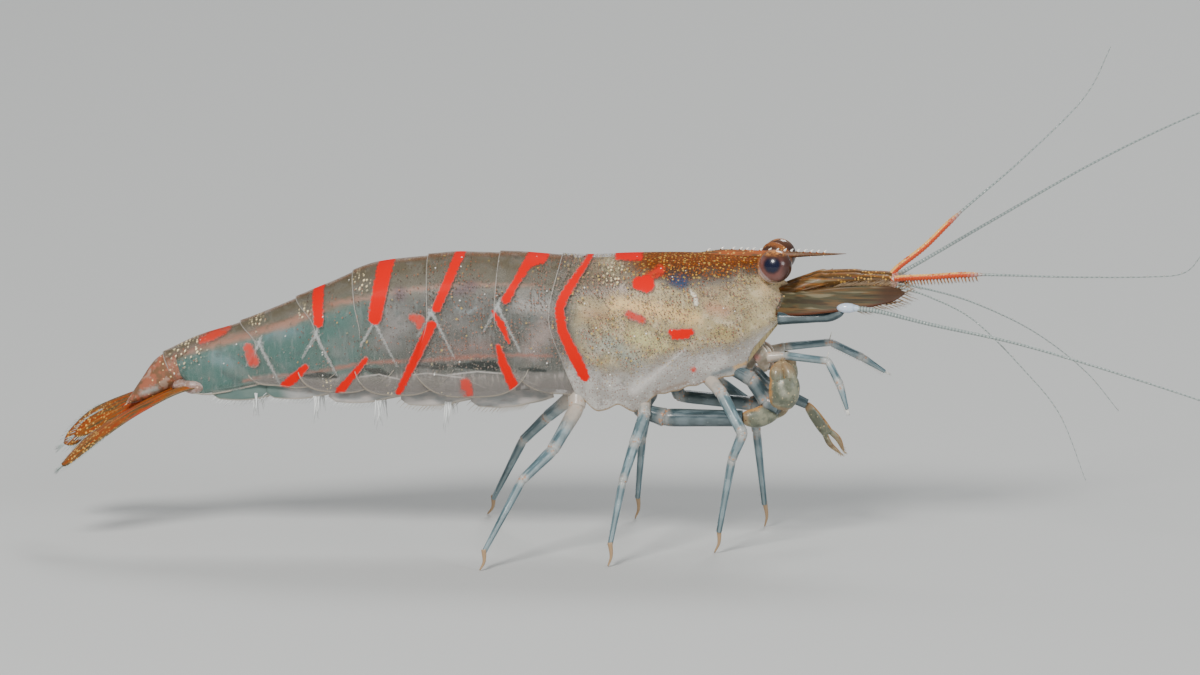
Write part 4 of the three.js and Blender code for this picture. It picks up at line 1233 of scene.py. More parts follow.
def build_flesh(look):
    """One body of flesh under all the plates: side flaps, an arched belly and a rounded face."""
    rows, upper = 190, 72  # rings along the body, and steps over its outside
    inset = look.under_shell / MM
    under = [(side * y, t) for side, row in ((1, BELLY), (-1, BELLY[-2::-1])) for y, t in row]
    outside = [(-1 + 2 * j / upper, None) for j in range(upper + 1)]
    rings, downs = [], []
    for i in range(rows + 1):
        u = i / rows
        fullness = math.sqrt(min(u / 0.02, 1.0)) * 0.6 + 0.4  # rounds off the tail's end
        ring, down = [], []
        for q, belly in outside + under:
            t = depth_share(abs(q)) * FLESH_REACH if belly is None else belly
            x = lerp(MARGINS[-1](t) + 0.1, MARGINS[0](t) - 0.05, u)
            top, low = BACK(x) - inset, LOWER_EDGE(x)
            half = max(HALF_WIDTH(x) - inset, 0.2) * flank(t)
            y = (1 if q > 0 else -1) * half if belly is None else q * half
            ring.append((x, y * fullness, lerp(lerp(top, low, 0.42), lerp(top, low, t), fullness)))
            down.append(t)
        rings.append(ring)
        downs.extend(down)
    for size in FACE_RINGS:
        forward = Vector((0.3 * (1 - size), 0, 0))
        rings.append([tuple(FACE.lerp(Vector(p), size) + forward) for p in rings[rows]])
        downs.extend(down)
    form = Form()
    form.rings(rings)
    form.marks["down"] = downs + [0.5, 0.5]
    around = arc_lengths(np.array([[tuple(p) for p in ring[: upper + 1]] for ring in rings]))
    filled = []
    for i in range(len(rings)):
        filled.extend(around[i * (upper + 1) : (i + 1) * (upper + 1)] + [5.0 + k for k in range(len(under))])
    form.marks["around"] = filled + [0.0, 0.0]
    form.finishes = [int(all(form.points[k][0] < FLESH_SEAM for k in face)) for face in form.faces]
    form.piece("body_flesh", [flesh_finish(look, abdomen) for abdomen in (False, True)], "shell")


# ---- head ----

EYE = {"x": 8.1, "y": 1.32, "z": 11.57, "radius": 0.66, "across": 0.92}
FACET = 0.045  # width of one facet of an eye
EYESTALK = [(7.45, 0.3, 11.1), (7.7, 0.6, 11.28), (7.92, 0.9, 11.44), (8.03, 1.12, 11.53)]
ROSTRUM = {"base": 4.6, "tip": 10.85, "tip_top": 11.88, "crest": 0.2}
# Half of the rostrum's section, from top to bottom: shares of its half width and of its depth.
ROSTRUM_SECTION = [(0, 0), (0.3, -0.06), (0.42, -0.3), (0.95, -0.5), (1, -0.58), (0.5, -0.8), (0.14, -1)]
# The saw of the rostrum: where its teeth stand along x.
UPPER_TEETH = [5.3, 5.85, 6.3, 6.6, 6.85, 7.1, 7.4, 7.75, 8.05, 8.35, 8.62, 8.88, 9.15, 9.42, 9.68, 9.95]
LOWER_TEETH = [8.85, 9.4, 9.9]


def rostrum_share(x):
    """How far along the rostrum a place is, from 0 at its base to 1 at its tip."""
    return (x - ROSTRUM["base"]) / (ROSTRUM["tip"] - ROSTRUM["base"])


def rostrum_top(x):
    start = BACK(ROSTRUM["base"]) + ROSTRUM["crest"] * ramp(rostrum_share(x), 0.0, 0.25)
    return lerp(start, ROSTRUM["tip_top"], rostrum_share(x))


def build_rostrum():
    depth = curve((0, 0.3), (0.3, 0.36), (0.5, 0.34), (0.62, 0.27), (0.78, 0.16), (0.92, 0.08), (1, 0.015))
    half = curve((0, 0.3), (0.3, 0.24), (0.55, 0.13), (0.8, 0.07), (1, 0.012))
    rings = []
    stations = shares(61)
    for share in stations:
        x = lerp(ROSTRUM["base"], ROSTRUM["tip"], share)
        top, d, w = rostrum_top(x), depth(share), half(share)
        right = [(x, -w * a, top + d * b) for a, b in ROSTRUM_SECTION]
        left = [(x, w * a, top + d * b) for a, b in reversed(ROSTRUM_SECTION[1:])]
        rings.append(right + left)
    form = Form()
    form.rings(rings, {"share": stations})
    for teeth, way, size in ((UPPER_TEETH, 1, 0.13), (LOWER_TEETH, -1, 0.08)):
        for x in teeth:
            foot = rostrum_top(x) - 0.03 if way > 0 else rostrum_top(x) - depth(rostrum_share(x)) + 0.03
            path = [Vector((x + size * 0.9 * s**1.5, 0, foot + way * size * s * 1.1)) for s in shares(5)]
            wide = [size * s for s in (0.5, 0.42, 0.34, 0.26, 0.05)]
            deep = [size * s for s in (0.34, 0.3, 0.27, 0.22, 0.05)]
            form.tube(path, wide, deep, across=(1, 0, 0), sides=8, marks={"tip": [0, 0.2, 0.8, 1, 1]})
    paint = Paint("rostrum", (0.16, 0.075, 0.03), 1.0, 0.25, coat=0.5)
    lines = paint.noise(0.14, 2.0, stretch=(0.15, 1, 1))
    paint.lay(lines, 0.42, 0.6, (0.45, 0.1, 0.02), 0.8)
    paint.speckle(0.12, 0.6, 0.05, (0.75, 0.42, 0.1), 0.9, seed=3)
    paint.lay(paint.mark("share"), 0.5, 0.72, (0.1, 0.06, 0.03), 0.85)
    paint.lay(paint.mark("tip"), 0.15, 0.6, (0.95, 0.92, 0.84))
    form.piece("rostrum_saw", [paint.done()], "head_shell", "rostrum")


def build_eyes():
    for letter, side in SIDES.items():
        centre = Vector((EYE["x"], side * EYE["y"], EYE["z"]))
        ball = Form()
        ball.ball(centre, (EYE["radius"], EYE["radius"] * EYE["across"], EYE["radius"]), sides=48)
        ball.piece(f"eyeball_{letter}", [eye_finish(side)], "eye", f"eye_{letter}")
        stalk = Form()
        path = smooth_path(mirrored(EYESTALK, side), 24)
        radius = curve((0, 0.34), (0.4, 0.42), (0.7, 0.56), (0.9, 0.675), (0.97, 0.685), (1, 0.64))
        stalk.tube(path, sampled(radius, 24), across=(0, 0, 1), sides=32, marks={"out": shares(24)})
        paint = Paint(f"eyestalk {letter}", (0.075, 0.032, 0.018), 1.0, 0.5, 0.05, 0.12, specular=0.2)
        grain = paint.noise(0.2, 2.0)
        rim = paint.step(paint.roughened(paint.mark("out"), grain, 0.1), 0.8, 0.9)
        paint.cover(rim, (0.3, 0.1, 0.03), 0.9)
        paint.lay(paint.part("Z"), 11.6, 11.1, (0.5, 0.36, 0.28), 0.9)
        paint.cover((rim, paint.dots(0.1, 0.5, 0.035)), (0.75, 0.42, 0.12), 0.9)
        stalk.piece(f"eyestalk_cup_{letter}", [paint.done()], "eyestalk", f"eyestalk_{letter}")


def build_antennule_bases():
    """Three articles with rimmed ends, a side spine, and a pale pink joint where the feelers leave."""
    horn = streaked_finish("feeler base", (0.11, 0.055, 0.016), (0.28, 0.11, 0.02), 1.0, 0.55)
    pale = Paint("feeler joint", (0.6, 0.32, 0.25), 1.0, 0.3, 0.3)
    pale.lay(pale.noise(0.12, 2.0), 0.5, 0.6, (0.35, 0.05, 0.03), 0.7)
    pale.speckle(0.12, 0.5, 0.05, (1.0, 0.95, 0.9))
    pale = pale.done()
    for letter, side in SIDES.items():
        y = side * 0.42
        form = Form()
        middle = [(8.2, 10.2), (9.3, 10.6), (10.1, 10.84), (11.45, 10.88), (12.65, 10.84)]
        path = smooth_path([(x, y, z) for x, z in middle], 40)
        girth = curve(
            (0, 0.34), (0.2, 0.36), (0.41, 0.36), (0.435, 0.31), (0.5, 0.3), (0.71, 0.31), (0.735, 0.27),
            (0.8, 0.26), (0.97, 0.27), (1, 0.2),
        )
        form.tube(path, sampled(girth, 40), sides=24)
        for x, z, length, rise in ((9.9, 11.02, 0.5, 0.16), (11.4, 11.06, 0.3, 0.08)):
            root = (x - 0.1, y + side * 0.12, z)
            form.spike(root, (length, 0, 0), [0.07, 0.06, 0.04, 0.02, 0.006], bend=(0, 0, rise))
        form.spike((8.9, side * 0.78, 10.42), (1.28, side * 0.08, 0.4), [0.1, 0.09, 0.065, 0.04, 0.008])
        form.ball((12.68, y, 10.84), (0.15, 0.18, 0.2), sides=16, finish=1)
        form.ball((12.78, y + side * 0.1, 10.98), (0.13, 0.12, 0.13), sides=12, finish=1)
        form.ball((12.78, y - side * 0.08, 10.7), (0.12, 0.12, 0.12), sides=12, finish=1)
        form.piece(f"antennule_peduncle_{letter}", [horn, pale], "head_shell", f"antennule_base_{letter}")


SCALE_SPINE = [
    (8.1, 0.85, 9.9), (9.2, 1.2, 10.02), (10.6, 1.4, 10.2), (12.1, 1.4, 10.36), (12.9, 1.32, 10.46),
    (13.25, 1.26, 10.5),
]
ANTENNA_BASE = [(8.2, 0.95, 9.4), (9.4, 1.1, 9.46), (10.2, 1.25, 9.52), (10.8, 1.5, 9.8)]


def build_antenna_bases():
    """The scale, its fringe, and the segments and pale bead that carry the long antenna."""
    base_colour, streak, margin = (0.07, 0.062, 0.03), (0.14, 0.075, 0.026), (0.1, 0.03, 0.012)
    scale = streaked_finish("antennal scale", base_colour, streak, 0.96, 0.0, margin)
    glass = limb_finish("antenna segment", bpy.context.scene.shrimp_limbs, 0.0, 0.4)
    bead = plain_finish("antenna bead", (0.6, 0.68, 0.8), 0.15, 0.6, 0.15)
    fringe = Form()
    dice = random.Random(11)
    for letter, side in SIDES.items():
        form = Form()
        near = curve((0, 0.4), (0.2, 0.5), (0.5, 0.56), (0.85, 0.42), (0.97, 0.18), (1, 0.04))
        far = curve((0, 0.4), (0.2, 0.45), (0.6, 0.42), (0.9, 0.26), (1, 0.03))
        edges = leaf(form, mirrored(SCALE_SPINE, side), near, far, (0, side * 0.25, -0.96), 0.12, dish=-0.06)
        form.spike((12.5, side * 1.45, 10.12), (0.72, 0, 0.12), [0.06, 0.05, 0.035, 0.02, 0.005])
        form.piece(f"antennal_scale_{letter}", [scale], "head_shell", f"antenna_scale_{letter}")
        for edge, from_share in ((edges[0], 0.45), (edges[1], 0.6)):
            for place, out, share in (spot for spot in edge if spot[2] >= from_share):
                for _ in range(4):
                    way = out * 0.5 + Vector((1.1 + dice.uniform(-0.1, 0.3), 0, dice.uniform(-0.1, 0.1)))
                    root = place + Vector((dice.uniform(-0.04, 0.04), 0, 0))
                    patch = (share * 0.9, 0.3 + 0.2 * side)
                    fringe.hair(root, way, dice.uniform(0.4, 0.7), 0.014, patch=patch)
        base = Form()
        path = smooth_path(mirrored(ANTENNA_BASE, side), 30)
        girth = curve((0, 0.28), (0.25, 0.24), (0.45, 0.22), (0.62, 0.19), (0.8, 0.2), (0.95, 0.17), (1, 0.1))
        marks = {"along": [2.6 * share for share in shares(30)], "joint": [0.0] * 30, "root": [0.0] * 30}
        base.tube(path, sampled(girth, 30), sides=20, marks=marks)
        base.ball((10.98, side * 1.62, 9.96), (0.42, 0.2, 0.2), sides=24, finish=1)
        base.ball((11.26, side * 1.64, 9.96), (0.24, 0.14, 0.14), sides=16, finish=1)
        base.piece(f"antenna_segments_{letter}", [glass, bead], "limb", f"antenna_base_{letter}")
    fringe_finish = plain_finish("scale fringe", (0.3, 0.2, 0.11), 0.4)
    fringe.piece("antennal_scale_fringe", [fringe_finish], "head_shell")


# Lobes of the mouth: the place of the root, how far forward they reach and how far they drop.
MOUTH_LOBES = [
    (6.95, 0.42, 8.5, 0.55, 1.1), (7.15, 0.5, 8.3, 0.5, 1.15), (7.4, 0.36, 8.2, 0.38, 1.0),
    (6.7, 0.5, 8.1, 0.35, 0.85),
]


def build_mouth():
    """Overlapping lobes of the mouthparts on a rounded body."""
    flesh = Paint("mouthparts", (0.3, 0.26, 0.2), 1.0, 0.3, coat=0.5)
    flesh.lay(flesh.noise(0.3, 3.0), 0.45, 0.65, (0.5, 0.44, 0.36), 0.8)
    flesh.cover(flesh.strokes([[(7.3, 7.75, 0.12)]], 0.14), (0.5, 0.12, 0.1), 0.7)
    flesh.lay(flesh.mark("across"), 0.7, 0.95, (0.6, 0.54, 0.46), 0.6)
    flesh.soft(0.4, 0.25)
    form = Form()
    form.ball((7.2, 0, 8.0), (0.42, 0.55, 0.62), sides=24)
    for side in SIDES.values():
        for x, y, z, reach, drop in MOUTH_LOBES:
            line = [(x, y, z), (x + reach * 0.7, y + 0.08, z - drop * 0.45), (x + reach, y * 0.7, z - drop)]
            width = curve((0, 0.16), (0.35, 0.3), (0.75, 0.24), (1, 0.05))
            leaf(form, mirrored(line, side), width, width, (1, 0, 0.3), 0.14, 16, 8, 0.06)
    form.piece("mouth_lobes", [flesh.done()], "mouth", "mouthparts")


# ---- feelers ----

FEELERS = {
    "antennule_outer_R": [
        (12.6, -0.45, 10.92), (13.2, -0.6, 11.02), (14.3, -0.8, 11.12), (16.1, -1.2, 11.3),
        (19.8, -2.1, 11.4), (23.05, -3, 11.6), (24.5, -3.35, 11.85), (25.25, -3.6, 12.7),
    ],
    "antennule_inner_R": [
        (12.8, -0.3, 10.65), (14.2, -0.75, 10.3), (16.05, -1.8, 9.55), (18.1, -2.6, 7.7), (19.55, -3.1, 6),
        (20.6, -3.5, 3.45),
    ],
    "antennule_outer_L": [
        (12.55, 0.45, 10.9), (12.95, 0.6, 11.3), (13.95, 1, 12.05), (15.25, 1.4, 13.3), (17.75, 2.3, 15.4),
        (20.15, 3.2, 17.75), (21.2, 3.7, 19.75),
    ],
    "antennule_inner_L": [
        (12.75, 0.3, 10.65), (13.95, 0.85, 10.35), (15.8, 1.8, 9.65), (18.15, 2.8, 8.35), (20.2, 3.7, 6.6),
        (21.55, 4.1, 4.9),
    ],
    "antenna_R": [
        (11.2, -1.62, 9.95), (12.2, -1.7, 9.86), (14.35, -2, 9.4), (18.15, -3.2, 8.8), (23.2, -5, 7.65),
        (28.05, -7, 6.45), (32.25, -9.6, 5.6), (34.95, -12.2, 5.2),
    ],
    "antenna_L": [
        (11.1, 1.6, 9.95), (13.1, 1.9, 10.9), (16.6, 3.2, 12.8), (20.7, 5, 14.95), (24.6, 6.8, 16.6),
        (28.45, 9, 17.75), (31.75, 11.6, 18.3),
    ],
}
# Half thickness against millimetres from the root.
OUTER_TAPER = curve((0, 0.13), (3.2, 0.115), (3.9, 0.06), (6, 0.04), (13, 0.018))
INNER_TAPER = curve((0, 0.05), (3, 0.032), (11, 0.014))
ANTENNA_TAPER = curve((0, 0.11), (2, 0.085), (8, 0.055), (16, 0.035), (27, 0.018))
RED_LENGTH = 3.6  # millimetres of the outer upper feelers, from their roots, that are red
COMB_START = 0.5  # where the comb begins on the near one; it ends with the red
HAIRED_LENGTH = 14  # millimetres of each feeler that carry short hairs


def build_feeler(name, look):
    """One flagellum, with three rings of points to each of its rings. Returns its line, its half widths and
    the distances from its root."""
    kind = name.rsplit("_", 1)[0]
    taper = {"antennule_outer": OUTER_TAPER, "antennule_inner": INNER_TAPER, "antenna": ANTENNA_TAPER}[kind]
    rough = smooth_path(FEELERS[name], 400)
    length = sum((b - a).length for a, b in zip(rough, rough[1:]))
    spacing = look.ring_spacing / MM
    places, wide, marks = [], [], {"along": [], "ring": []}
    run = 0.0
    while run < length:
        step = lerp(spacing, spacing * 2.2, run / length)
        for place, swell, ring in ((0.0, 1.0, 1.0), (0.45, 1.06, 0.6), (0.7, 0.86, 0.0)):
            places.append(min((run + place * step) / length, 1.0))
            wide.append(taper(run) * swell)
            marks["along"].append(run)
            marks["ring"].append(ring)
        run += step
    line = np.array([tuple(p) for p in rough])
    at = np.linspace(0, 1, len(rough))
    path = [Vector(p) for p in np.stack([np.interp(places, at, line[:, k]) for k in range(3)], axis=1)]
    form = Form()
    form.tube(path, wide, across=(0, 0, 1), sides=8, marks=marks)
    red = RED_LENGTH if kind == "antennule_outer" else 0.0
    slot = "red_feeler" if red else "feeler"
    form.piece(f"{name}_flagellum", [feeler_finish(name, look, red)], slot, name)
    return path, wide, marks["along"]


def build_feelers(look):
    """The six flagella, and the comb of fine hairs under the upper ones."""
    comb = Form()
    dice = random.Random(5)
    for name in FEELERS:
        path, wide, along = build_feeler(name, look)
        ways = directions(path)
        for k in range(0, len(path), 3):
            if name == "antennule_outer_R" and COMB_START < along[k] < RED_LENGTH:
                below = Vector((0, 0, -1))
                below = (below - ways[k] * below.dot(ways[k])).normalized()
                for lean in range(-4, 5):
                    way = below + ways[k] * 0.3 + Vector((0, 0.1 * lean, 0))
                    root = path[k] + below * wide[k] * 0.7 + ways[k] * (0.03 * dice.uniform(-1, 1))
                    comb.hair(root, way, dice.uniform(0.2, 0.32), 0.014, patch=(along[k] / 6, 0.5))
            elif k % 9 == 0 and along[k] < HAIRED_LENGTH:
                way = ways[k] * 0.6 + Vector((0, dice.uniform(-1, 1), dice.choice((-1, 1))))
                comb.hair(path[k], way, 0.13, 0.007, patch=(min(along[k] / 16, 0.99), 0.2))
    comb.piece("feeler_comb", [plain_finish("comb hairs", (0.42, 0.2, 0.08), 0.4)], "feeler")


# ---- limbs ----

WALKING_LEGS = {
    "leg_3_R": [(5.2, -1, 7.2), (6, -1.95, 6.5), (6.9, -2.9, 5.05), (6.45, -2.6, 3.95), (5.9, -2, 0.9)],
    "leg_4_R": [(2.85, -1, 6.45), (2.9, -1.9, 5.55), (2.6, -3.3, 4.65), (2.2, -4.3, 3.3), (1.75, -5, 0.85)],
    "leg_5_R": [(0.2, -1, 6.9), (0.2, -1.7, 5.8), (-0.65, -3.6, 4.4), (-1.8, -4.6, 3.35), (-3.2, -6.1, 0.7)],
    "leg_3_L": [(4.85, 1, 7.25), (5.65, 2, 6.25), (6.9, 3.2, 5.1), (7.05, 3.5, 4), (7.35, 3.9, 0.95)],
    "leg_4_L": [(2.7, 1, 6.45), (2.75, 1.9, 5.55), (2.65, 3.4, 4.85), (2.4, 4.4, 3.55), (2.15, 5.3, 0.9)],
    "leg_5_L": [(0.1, 1, 6.9), (-0.15, 1.8, 5.7), (-1.35, 3.5, 4.5), (-2.4, 4.5, 3.35), (-3.7, 5.8, 0.7)],
}
# Half widths at the joints, by the leg's number.
LEG_RADII = {
    "3": [0.3, 0.25, 0.22, 0.18, 0.12],
    "4": [0.3, 0.25, 0.22, 0.17, 0.11],
    "5": [0.5, 0.32, 0.24, 0.19, 0.11],
}
CHELIPEDS = {
    "cheliped_1_R": [
        (5.7, -0.9, 7.7), (7.15, -1.15, 6.95), (7.75, -1.25, 6.1), (8.3, -1.5, 5.85), (8.5, -1.6, 6.75),
        (8.35, -1.25, 7.7),
    ],
    "cheliped_2_R": [
        (3.1, -0.85, 6.35), (2.7, -1.3, 5.65), (3.7, -1.5, 5.42), (6.8, -1.5, 5.42), (7.65, -1.3, 5.5),
        (8.65, -0.75, 6.1),
    ],
    "cheliped_1_L": [
        (5.6, 0.9, 7.7), (7.0, 1.15, 6.95), (7.65, 1.25, 6.2), (8.1, 1.45, 6.0), (8.35, 1.4, 6.9),
        (8.3, 1.1, 7.7),
    ],
    "cheliped_2_L": [
        (3.6, 0.9, 7.0), (4.1, 1.6, 5.75), (6.9, 2, 5.4), (8.2, 2, 5.85), (9.15, 2.05, 5.4), (9.9, 2.25, 4.3),
        (10.55, 2.4, 3.4),
    ],
}
# Half widths at the joints up to the wrist.
CHELIPED_RADII = {
    "cheliped_1_R": [0.28, 0.3, 0.33, 0.3],
    "cheliped_2_R": [0.34, 0.3, 0.37, 0.36, 0.3],
    "cheliped_1_L": [0.28, 0.3, 0.32, 0.3],
    "cheliped_2_L": [0.28, 0.26, 0.28, 0.27, 0.22, 0.2],
}
# Each hand: its half width, and how much the fingers gape.
HANDS = {
    "cheliped_1_R": (0.62, 0.03),
    "cheliped_2_R": (0.42, 0.16),
    "cheliped_1_L": (0.52, 0.05),
    "cheliped_2_L": (0.25, 0.3),
}
MAXILLIPEDS = {
    "maxilliped_R": [
        (7.75, -0.65, 7.75), (8.45, -0.75, 7.85), (10.2, -1.3, 7.75), (10.7, -1.6, 6.85), (11, -1.8, 5.9),
    ],
    "maxilliped_L": [
        (7.65, 0.65, 7.75), (8.35, 0.75, 7.95), (10.15, 1.3, 8.05), (11.4, 1.6, 7.4), (12.3, 1.8, 6.8),
    ],
}


def spines_along(form, a, b, way, count, length, radius, lean=0.6, finish=0):
    """A row of short spines along a straight length, leaning towards its far end."""
    a, b = Vector(a), Vector(b)
    for k in range(count):
        place = a.lerp(b, lerp(0.1, 0.95, k / (count - 1)))
        form.hair(place, Vector(way) + (b - a).normalized() * lean, length, radius, finish=finish)


def toe_of(name):
    """Where the CAD's toe stands on the floor."""
    spot = next(m["pos_m"] for m in frame["record"]["mounts"] if m["name"] == "toe_" + name[4:])
    return (Vector(spot) - ORIGIN) / MM


def build_legs(look):
    shell = limb_finish("walking leg", look)
    claw = plain_finish("claw", (0.4, 0.26, 0.14), 0.3, 0.4)
    for name, joints in WALKING_LEGS.items():
        form = Form()
        number = name[4]
        limb(form, joints, LEG_RADII[number], sides=16, pale_roots=1.6 if number == "5" else 1)
        ankle, toe = Vector(joints[-1]), toe_of(name)
        above, sweep, off_floor = Vector((0, 0, 0.12)), Vector((0.09, 0, 0)), Vector((0, 0, 0.03))
        path = smooth_path([ankle + above, ankle.lerp(toe, 0.5) + sweep, toe + off_floor], 14)
        form.tube(path, [lerp(0.11, 0.03, share) for share in shares(14)], sides=10, finish=1)
        for k in range(1, 6):
            form.hair(path[2 * k], Vector((-0.6, 0, -1)), 0.14, 0.018, finish=1)
        out = SIDES[name[-1]]
        for i, count in ((2, 3), (3, 6), (4, 9)):
            spines_along(form, joints[i - 1], joints[i], (-0.9, out * 0.4, 0), count, 0.22, 0.014)
        form.piece(f"walking_{name}", [shell, claw], "limb", name)


def build_hand(form, bend, tip, start, half, gape):
    """A swollen palm with a fixed and a moving finger that end in a brush of hairs."""
    start, bend, tip = Vector(start), Vector(bend), Vector(tip)
    line = smooth_path([start, start.lerp(bend, 0.9), tip], 40)
    way = (tip - start).normalized()
    aside = way.cross(Vector((0, 1, 0))).normalized()
    palm = curve((0, 0.5), (0.1, 0.78), (0.3, 0.97), (0.45, 1.0), (0.58, 0.93), (0.66, 0.8))
    path = line[:25]
    wide = [half * swell for swell in sampled(palm, len(line))[: len(path)]]
    rim = [max(1 - k / 8, 0.0) for k in range(len(path))]
    form.tube(path, wide, [w * 0.72 for w in wide], across=aside, sides=24, marks={"joint": rim}, finish=2)
    knuckle = path[-3]
    for turn, thick in ((1, 0.5), (-1, 0.46)):
        root = knuckle + aside * (turn * half * 0.42)
        end = tip + aside * (turn * gape * half)
        girth = curve((0, 0.95), (0.35, 1.0), (0.75, 0.72), (1, 0.24))
        finger = smooth_path([root, root.lerp(end, 0.5) + aside * (turn * (0.12 + gape) * half), end], 16)
        wide = [half * thick * g for g in sampled(girth, 16)]
        tips = [0.3 + 0.6 * share for share in shares(16)]
        deep = [w * 0.9 for w in wide]
        form.tube(finger, wide, deep, across=aside, sides=16, marks={"joint": tips}, finish=2)
        for k in range(26):
            spread = Vector((math.sin(k * 2.4), math.cos(k * 3.1), math.sin(k * 1.7))) * 0.4
            form.hair(finger[11 + k % 5], way + spread, 0.24, 0.011, finish=1)


def build_pincers(look):
    shell = limb_finish("pincer limb", look, 0.6, 0.45)
    brush = plain_finish("pincer brush", (0.5, 0.36, 0.2), 0.4)
    hand = Paint("pincer hand", (0.15, 0.16, 0.115), 1.0, 0.4, 0.15, 0.1, specular=0.25)
    hand.lay(hand.noise(0.35, 3.0), 0.42, 0.6, (0.29, 0.29, 0.205), 0.8)
    hand.lay(hand.noise(0.3, 3.0, seed=4), 0.45, 0.35, (0.1, 0.11, 0.08), 0.7)
    edge = hand.step(hand.number("MULTIPLY_ADD", hand.noise(0.25), 0.5, hand.mark("round")), 0.9, 1.2)
    hand.cover(edge, (0.55, 0.27, 0.08), 0.85)
    hand.lay(hand.mark("joint"), 0.3, 0.75, (0.4, 0.22, 0.09), 0.5)
    hand.speckle(0.13, 0.35, 0.04, (0.62, 0.5, 0.28), 0.8, seed=5)
    hand.speckle(0.16, 0.4, 0.04, (0.1, 0.05, 0.03), 0.7, seed=7)
    # Painted highlight: a soft pale streak across the palm at one place.
    hand.cover(hand.strokes([[(8.35, 6.9, 0.02), (8.5, 6.5, 0.03)]], 0.2, 0.08), (0.6, 0.58, 0.48), 0.6)
    hand.soft(0.25, 0.15)
    hand_finish = hand.done()
    for name, joints in CHELIPEDS.items():
        form = Form()
        limb(form, joints[:-2], CHELIPED_RADII[name], sides=18, pale_roots=0.2 if "2" in name else -0.4)
        half, gape = HANDS[name]
        build_hand(form, joints[-2], joints[-1], joints[-3], half, gape)
        form.piece(f"{name}_limb", [shell, brush, hand_finish], "limb", name)


def build_maxillipeds(look):
    shell = limb_finish("maxilliped", look)
    spine = plain_finish("maxilliped spines", (0.85, 0.82, 0.74), 0.3)
    for name, joints in MAXILLIPEDS.items():
        form = Form()
        limb(form, joints, [0.24, 0.17, 0.15, 0.16, 0.08], sides=14)
        knee = Vector(joints[2])
        form.hair(knee + Vector((-0.05, 0, 0.05)), (0.25, 0, 1), 0.42, 0.035, finish=1)
        for i, count, size in ((3, 13, 0.26), (4, 13, 0.22)):
            spines_along(form, joints[i - 1], joints[i], (-0.7, 0, -0.8), count, size, 0.026, 0.3, 1)
            spines_along(form, joints[i - 1], joints[i], (0.3, 0, 1), count // 2, size * 0.6, 0.018, 0.5, 1)
        end, before = Vector(joints[-1]), Vector(joints[-2])
        for lean in (-0.3, 0.0, 0.3):
            form.hair(end, (end - before).normalized() + Vector((lean, 0, -lean)), 0.3, 0.035, finish=1)
        form.piece(f"{name}_limb", [shell, spine], "limb", name)


# ---- swimmerets and tail fan ----

# Each pair of swimmerets: (x, distance from the middle plane, height of the root above the lower edge).
SWIMMERETS = [
    (-1.6, 0.72, 0.66), (-4.4, 0.72, 0.84), (-7.3, 0.66, 0.92), (-9.8, 0.56, 0.95), (-12.0, 0.45, 0.66),
]
# The two leaves of each: (drop below the root, share of the full length, distance outward).
SWIMMERET_LEAVES = [(0.0, 1.0, 0.3), (0.1, 0.85, -0.12)]
TUFT_PLACES = (-5.0, -7.8, -10.3, -12.8)  # where thick hairs hang between the swimmerets
TAIL_BLADES = {
    "uropod_outer": [
        (-15.1, 0.7, 6.35), (-15.8, 0.75, 6.18), (-16.6, 0.85, 5.85), (-18, 1.2, 5.2), (-19.4, 1.6, 4.4),
        (-20.65, 1.9, 3.45),
    ],
    "uropod_inner": [
        (-16.1, 0.3, 6.1), (-17.3, 0.38, 5.55), (-18.4, 0.62, 4.95), (-19.4, 0.86, 4.3), (-20.15, 1, 3.75),
    ],
}
BLADE_WIDTHS = {
    "uropod_outer": curve(
        (0, 0.16), (0.1, 0.26), (0.25, 0.34), (0.5, 0.52), (0.75, 0.64), (0.93, 0.42), (0.985, 0.2), (1, 0.05)
    ),
    "uropod_inner": curve((0, 0.3), (0.25, 0.3), (0.6, 0.42), (0.82, 0.42), (0.96, 0.22), (1, 0.04)),
}
# How each side's blades tilt, drop and reach: the far ones are seen above the near ones.
BLADE_TILT = {"R": -0.22, "L": 1.0}
TAIL_DROP = {"uropod_outer": {"R": 0.2, "L": 0.02}, "uropod_inner": {"R": 0.2, "L": -0.2}}
TAIL_REACH = {"R": -0.25, "L": 0.0}
TAIL_ROOT, TAIL_LENGTH = -15.85, 4.65  # the drop grows from the root over this length


